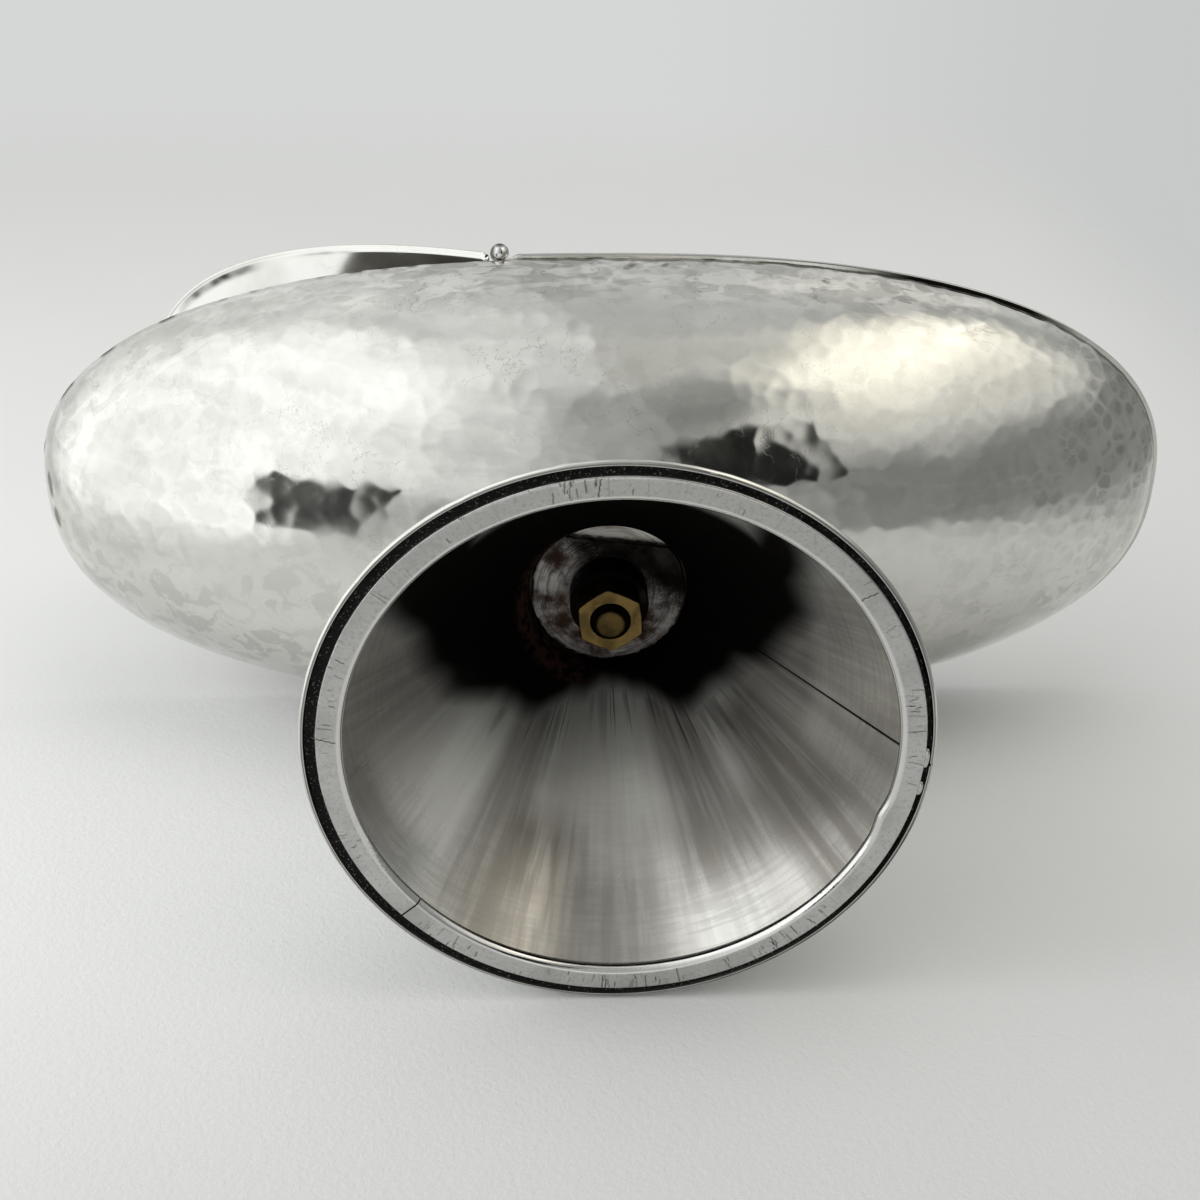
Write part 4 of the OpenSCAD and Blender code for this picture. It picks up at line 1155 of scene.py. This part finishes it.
def makeStud():
    end = clamp["nutZ"] - clamp["proud"]
    top = clamp["floor"]
    profile = [(0, end), (0.8, end + 0.01), (1.45, end + 0.03), (1.72, end + 0.09), (1.86, end + 0.22),
               (1.93, end + 0.45), (2.0, end + 0.75)]
    root, crest = clamp["root"], clamp["crest"]
    z = end + 0.85
    while z < clamp["bushZ"] - 0.4:  # thread ridges
        profile += [(root, z), (crest, z + 0.32), (crest, z + 0.40), (root, z + 0.72)]
        z += clamp["pitch"]
    profile += [(clamp["stud"], z + 0.2), (clamp["stud"], top - 1.02), (clamp["flange"] - 0.1, top - 1.0),
                (clamp["flange"], top - 0.9), (clamp["flange"], top - 0.1), (clamp["flange"] - 0.1, top), (0, top)]
    piece = addTurned("threadedStud", profile, "boat", wornBrass, ["stud"], 72, sharp=50)
    heights = np.array([v.co.z for v in piece.data.vertices]) / mm
    # half dark on the end face, its own tarnish, and full dark from the chamfer up: painted shade round the end
    addValue(piece, "grimeAndPaintedDark", 0.45 + 0.55 * smoothRamp(end + 0.12, end + 0.5, heights))
    return piece


makeWasher()
makeNut()
makeStud()
addTurned("neckPlate", ringProfile(clamp["hole"], foot["neck"] - 0.05, clamp["plateZ"],
                                   clamp["plateZ"] + clamp["plateSheet"], 0.08),
          "boat", dullPlate, ["foot_top_plate"], 180)
# painted shade blackens the whole bush
addTurned("shadedBush", ringProfile(clamp["hole"], clamp["bush"], clamp["bushZ"], clamp["washerZ"], 0.15),
          "boat", bushTarnishAndShade, ["clamp_bush"], 96)
print("clamp made")

# the hinge

hinge = {"knuckle": 1.2, "bore": 0.75, "pin": 0.7, "ball": 1.34, "soft": 0.12,
         # dirt in its corners: half sizes, and how far out and in from the pin's ends it lies
         "dirtHalf": (0.30, 0.62, 0.42), "dirtOut": 1.78, "dirtIn": 0.95, "dirtGrain": 0.12, "dirtSeed": 61}


def alongHinge(points):
    # lathe Z becomes the hinge's Y
    return np.stack([points[:, 0] + covers["hingeX"], points[:, 2], -points[:, 1] + covers["hingeZ"]], -1)


def alongLidHinge(points):
    return atLid(alongHinge(points))


knuckleNames = ("deck_knuckle_right", "lid_knuckle_right", "deck_knuckle_middle", "lid_knuckle_left",
                "deck_knuckle_left")
for i, node in enumerate(knuckleNames):
    start = knuckleStart(i)
    body, place = ("lid", alongLidHinge) if node.startswith("lid") else ("boat", alongHinge)
    tube = ringProfile(hinge["bore"], hinge["knuckle"], start, start + covers["knuckle"], hinge["soft"])
    addTurned("tube_" + node, tube, body, smoothSilver, [node], 64, place)

pinReach = covers["hingeHalf"]
addTurned("hingePinRod", [(0, -pinReach), (hinge["pin"], -pinReach), (hinge["pin"], pinReach), (0, pinReach)],
          "boat", smoothSilver, ["hinge_pin"], 48, alongHinge)
for end, node in ((-1, "pin_ball_right"), (1, "pin_ball_left")):
    shape = arcPath((0, end * pinReach), hinge["ball"], -90, 90, 25)
    shape[0], shape[-1] = (0, shape[0][1]), (0, shape[-1][1])
    ball = addTurned("ball_" + node, shape, "boat", smoothSilver, [node], 48, alongHinge, 60)
    spots = np.array([v.co for v in ball.data.vertices]) / mm
    spots = (spots - (covers["hingeX"], end * pinReach, covers["hingeZ"])) / hinge["ball"]
    dirty = np.maximum(smoothRamp(0.3, 0.7, spots[:, 0]), smoothRamp(0.75, 0.95, end * spots[:, 1]))
    addValue(ball, "grimeAndPaintedDark", 0.85 * dirty)


def makeHingeDirt():
    # old polish left in the corner between lid and ball
    draw = np.random.default_rng(hinge["dirtSeed"])
    halfX, halfY, halfZ = hinge["dirtHalf"]
    for end, side in ((-1, "right"), (1, "left")):
        across, along = np.meshgrid(np.linspace(0, 2 * math.pi, 14, endpoint=False), np.linspace(-1, 1, 9))
        plump = np.sqrt(np.maximum(1 - along ** 2, 0)) * 0.9 + 0.1
        grain = 1 + draw.uniform(-hinge["dirtGrain"], hinge["dirtGrain"], across.shape)
        x = covers["hingeX"] + hinge["dirtOut"] + halfX * plump * np.cos(across) * grain
        y = end * (covers["hingeHalf"] - hinge["dirtIn"] + halfY * plump * np.sin(across) * grain)
        z = covers["lidBottom"] + covers["sheet"] / 2 + halfZ * along
        grid = np.stack([x, y, z], -1)
        rows, columns = across.shape
        addPiece("hingeDirt_" + side, atLid(grid.reshape(-1, 3)), gridFaces(rows, columns) + capFaces(rows, columns),
                 "lid", [creviceDirt], sharp=80)


makeHingeDirt()
print("hinge made")

# the knob on the lid

knob = {"height": 6.995, "ball": 2.6, "stem": 1.1, "collar": 2.0, "collarHeight": 0.6, "tenon": 0.8, "burr": 1.8,
        "burrSheet": 0.5}


def onLid(points):
    base = np.array([covers["knobX"], 0, covers["lidBottom"] + covers["sheet"]])
    return atLid(points + base)


def makeKnob():
    middle = knob["height"] - knob["ball"]
    neckTurn = math.degrees(math.asin((knob["stem"] + 0.12) / knob["ball"]))
    tenon, collar, stem, rise = knob["tenon"], knob["collar"], knob["stem"], knob["collarHeight"]
    end = -covers["sheet"] - knob["burrSheet"]
    profile = [(0, end), (tenon, end), (tenon, 0), (collar - 0.08, 0.0), (collar, 0.1), (collar, 0.4),
               (collar - 0.12, rise), (stem + 0.5, rise + 0.05), (stem + 0.15, rise + 0.3), (stem, rise + 0.7),
               (stem, middle - knob["ball"] + 0.25)]
    profile += arcPath((0, middle), knob["ball"], -90 + neckTurn, 90, 30)
    profile[-1] = (0, knob["height"])
    return addTurned("lidKnob", profile, "lid", smoothSilver, ["lid_knob"], 64, onLid)


makeKnob()
addTurned("knobBurr", ringProfile(knob["tenon"] + 0.05, knob["burr"], -covers["sheet"] - knob["burrSheet"],
                                  -covers["sheet"], 0.1),
          "lid", smoothSilver, ["knob_burr"], 64, onLid)
print("knob made")

# studio

studio = {"floorY": -35.6, "nearTone": (0.585, 0.591, 0.59, 1), "farTone": (0.71, 0.718, 0.715, 1),
          "backTone": (0.665, 0.675, 0.67, 1), "backRight": (0.575, 0.585, 0.58, 1),
          "leftX": 95.0, "leftSlant": 0.9, "rightX": 120.0, "nearZ": -95.0, "farZ": 300.0, "fade": 60.0,
          "room": (0.44, 0.445, 0.435, 1), "mottle": (0.87, 1.10)}


def makeFloor():
    # the pale sheet that the boat lies on, see-through from behind and at its edges
    half = 700.0
    points = np.array([(x, studio["floorY"], z) for z in (-half, half) for x in (-half, half)]) * mm
    mesh = bpy.data.meshes.new("paleFloor")
    mesh.from_pydata(points.tolist(), [], [(0, 2, 3, 1)])
    floor = bpy.data.objects.new("paleFloor", mesh)
    bpy.context.scene.collection.objects.link(floor)
    material, kit, shader = newMaterial("paleCloth", Roughness=0.9)
    place = kit.place()
    x, y, z = kit.split(place)
    soft, leftX, rightX, nearZ, farZ = (studio[key] * mm for key in ("fade", "leftX", "rightX", "nearZ", "farZ"))
    reach = kit.times(kit.most(kit.minus(z, 0.05), 0.0), studio["leftSlant"])
    solid = kit.times(kit.ramp(kit.minus(x, reach), leftX, leftX + soft, 1.0, 0.0),
                      kit.ramp(x, -rightX - soft, -rightX), kit.ramp(z, nearZ - soft / 4, nearZ),
                      kit.ramp(z, farZ, farZ + soft * 4, 1.0, 0.0))
    folds = kit.noise(place, 9.0, 2.0)
    weave = kit.times(kit.noise(place, 1500.0, 2.0), kit.ramp(z, 0.03, 0.12, 1.0, 0.0))
    depth = kit.plus(z, kit.times(folds, 0.06))
    # painted light and shade: the cloth is darker near the camera and lighter far off
    tone = kit.layer(studio["nearTone"], studio["farTone"], kit.ramp(depth, -0.06, 0.07))
    front = kit.minus(1.0, kit.add("ShaderNodeNewGeometry").outputs["Backfacing"])
    dress(kit, shader, kit.plus(kit.times(folds, 30.0), weave), 0.00008, tone=tone, solid=kit.times(solid, front))
    mesh.materials.append(material)


makeFloor()


def makePatchGroup():
    # soft rectangle in the room around the boat, by its direction in degrees
    kit, entry, leave = newGroup("roomPatch", {"Around": 0.0, "Up": 0.0, "Around Middle": 0.0, "Around Half": 10.0,
                                               "Up Middle": 0.0, "Up Half": 10.0, "Soft": 5.0}, ["Mask"])
    masks = []
    for way in ("Around", "Up"):
        far = kit.size(kit.minus(entry[way], entry[way + " Middle"]))
        masks.append(kit.ramp(far, kit.minus(entry[way + " Half"], entry["Soft"]),
                              kit.plus(entry[way + " Half"], entry["Soft"]), 1.0, 0.0))
    kit.links.new(kit.times(*masks), leave["Mask"])
    return kit.tree


# middle and half size around and up, softness, and light
roomPatches = {
    "ceilingLeft": (-85.0, 100.0, 87.0, 13.0, 6.0, (0.80, 0.81, 0.80, 1)),
    "ceilingRight": (95.0, 85.0, 87.0, 13.0, 6.0, (0.66, 0.66, 0.63, 1)),
    "nearTable": (0.0, 18.0, -6.0, 11.0, 6.0, (1.15, 1.15, 1.12, 1)),
    "backSheet": (180.0, 55.0, 20.0, 75.0, 20.0, (0.60, 0.605, 0.60, 1)),
    "leftSheet": (-122.0, 46.0, 35.0, 52.0, 24.0, (0.88, 0.885, 0.88, 1)),
    "rightWall": (85.0, 52.0, 0.8, 17.6, 7.0, (0.26, 0.26, 0.255, 1)),
    "endWall": (147.0, 9.0, 9.0, 14.0, 6.0, (0.24, 0.24, 0.235, 1)),
    "endGlow": (143.0, 15.0, 48.0, 11.0, 8.0, (0.80, 0.79, 0.75, 1)),
    "lampGlow": (69.0, 32.0, 43.0, 16.0, 13.0, (0.93, 0.91, 0.84, 1)),
    "warmLamp": (83.0, 30.0, 57.0, 12.0, 9.0, (1.6, 1.54, 1.36, 1)),
    "frontSheet": (-30.0, 18.0, 36.0, 34.0, 12.0, (0.80, 0.81, 0.80, 1)),
    "windowLight": (-68.5, 33.0, 24.0, 49.0, 13.0, (1.36, 1.375, 1.36, 1)),
    "upperShade": (30.0, 14.0, 60.0, 10.0, 7.0, (0.31, 0.31, 0.30, 1)),
    "tallFlag": (26.5, 10.0, 28.0, 17.0, 1.5, (0.015, 0.016, 0.014, 1)),
    "lowFlag": (-40.0, 7.5, -3.0, 12.0, 1.5, (0.05, 0.05, 0.048, 1)),
}


def makeRoom():
    world = bpy.data.worlds.new("studioRoom")
    bpy.context.scene.world = world
    world.use_nodes = True
    world.node_tree.nodes.clear()
    kit = NodeKit(world.node_tree)
    way = kit.add("ShaderNodeTexCoord").outputs["Generated"]
    x, y, z = kit.split(way)
    around = kit.math("DEGREES", kit.math("ARCTAN2", kit.times(x, -1.0), kit.times(z, -1.0)))
    up = kit.math("DEGREES", kit.math("ARCSINE", y))
    patch = makePatchGroup()
    tone = studio["room"]
    for middle, half, upMiddle, upHalf, soft, light in roomPatches.values():
        mask = kit.group(patch, {"Around": around, "Up": up, "Around Middle": middle, "Around Half": half,
                                 "Up Middle": upMiddle, "Up Half": upHalf, "Soft": soft})["Mask"]
        tone = kit.layer(tone, light, mask)
    mottle = kit.ramp(kit.noise(way, 6.0, 3.0, 0.6), 0.3, 0.7, *studio["mottle"])
    room = kit.add("ShaderNodeBackground", {"Color": tone, "Strength": mottle})
    # painted shade: the plain background is darker towards the right
    sheet = kit.layer(studio["backTone"], studio["backRight"], kit.ramp(x, -0.04, -0.36))
    plain = kit.add("ShaderNodeBackground", {"Color": sheet, "Strength": 1.0})
    camera = kit.add("ShaderNodeLightPath").outputs["Is Camera Ray"]
    both = kit.add("ShaderNodeMixShader", {0: camera, 1: room.outputs[0], 2: plain.outputs[0]})
    leave = kit.add("ShaderNodeOutputWorld")
    kit.links.new(both.outputs[0], leave.inputs["Surface"])


makeRoom()

# soft lamps from the window's side and from overhead light the floor
lamps = {"sideLamp": {"place": (0.33, 0.16, 0.0), "aim": (0.0, -0.03, 0.06), "size": 0.22, "power": 0.52,
                      "tone": (1.0, 1.0, 0.99)},
         "topLamp": {"place": (-0.06, 0.55, 0.04), "aim": (-0.03, -0.03, 0.04), "size": 0.30, "power": 0.38,
                     "tone": (1.0, 0.99, 0.97)}}


def makeLamp(name, lamp):
    light = bpy.data.lights.new(name, "AREA")
    light.shape, light.size, light.energy, light.color = "DISK", lamp["size"], lamp["power"], lamp["tone"]
    piece = bpy.data.objects.new(name, light)
    bpy.context.scene.collection.objects.link(piece)
    piece.location = lamp["place"]
    piece.rotation_euler = (Vector(lamp["aim"]) - Vector(lamp["place"])).to_track_quat("-Z", "Y").to_euler()
    piece.visible_glossy = False  # metal shows the painted room instead


for name, lamp in lamps.items():
    makeLamp(name, lamp)

view = {"place": (0.006732, 0.099758, -0.146704), "turn": (151.3516, 1.5309, 179.6116), "lens": 48.0,
        "sensor": 36.0, "clip": 0.01}
camera = bpy.data.objects.new("photoCamera", bpy.data.cameras.new("photoCamera"))
bpy.context.scene.collection.objects.link(camera)
camera.location = view["place"]
camera.rotation_euler = Euler([math.radians(a) for a in view["turn"]], "XYZ")
camera.data.sensor_width = view["sensor"]
camera.data.lens = view["lens"]
camera.data.clip_start = view["clip"]
bpy.context.scene.camera = camera
bpy.context.scene.view_settings.view_transform = "Standard"
print("studio and camera set")
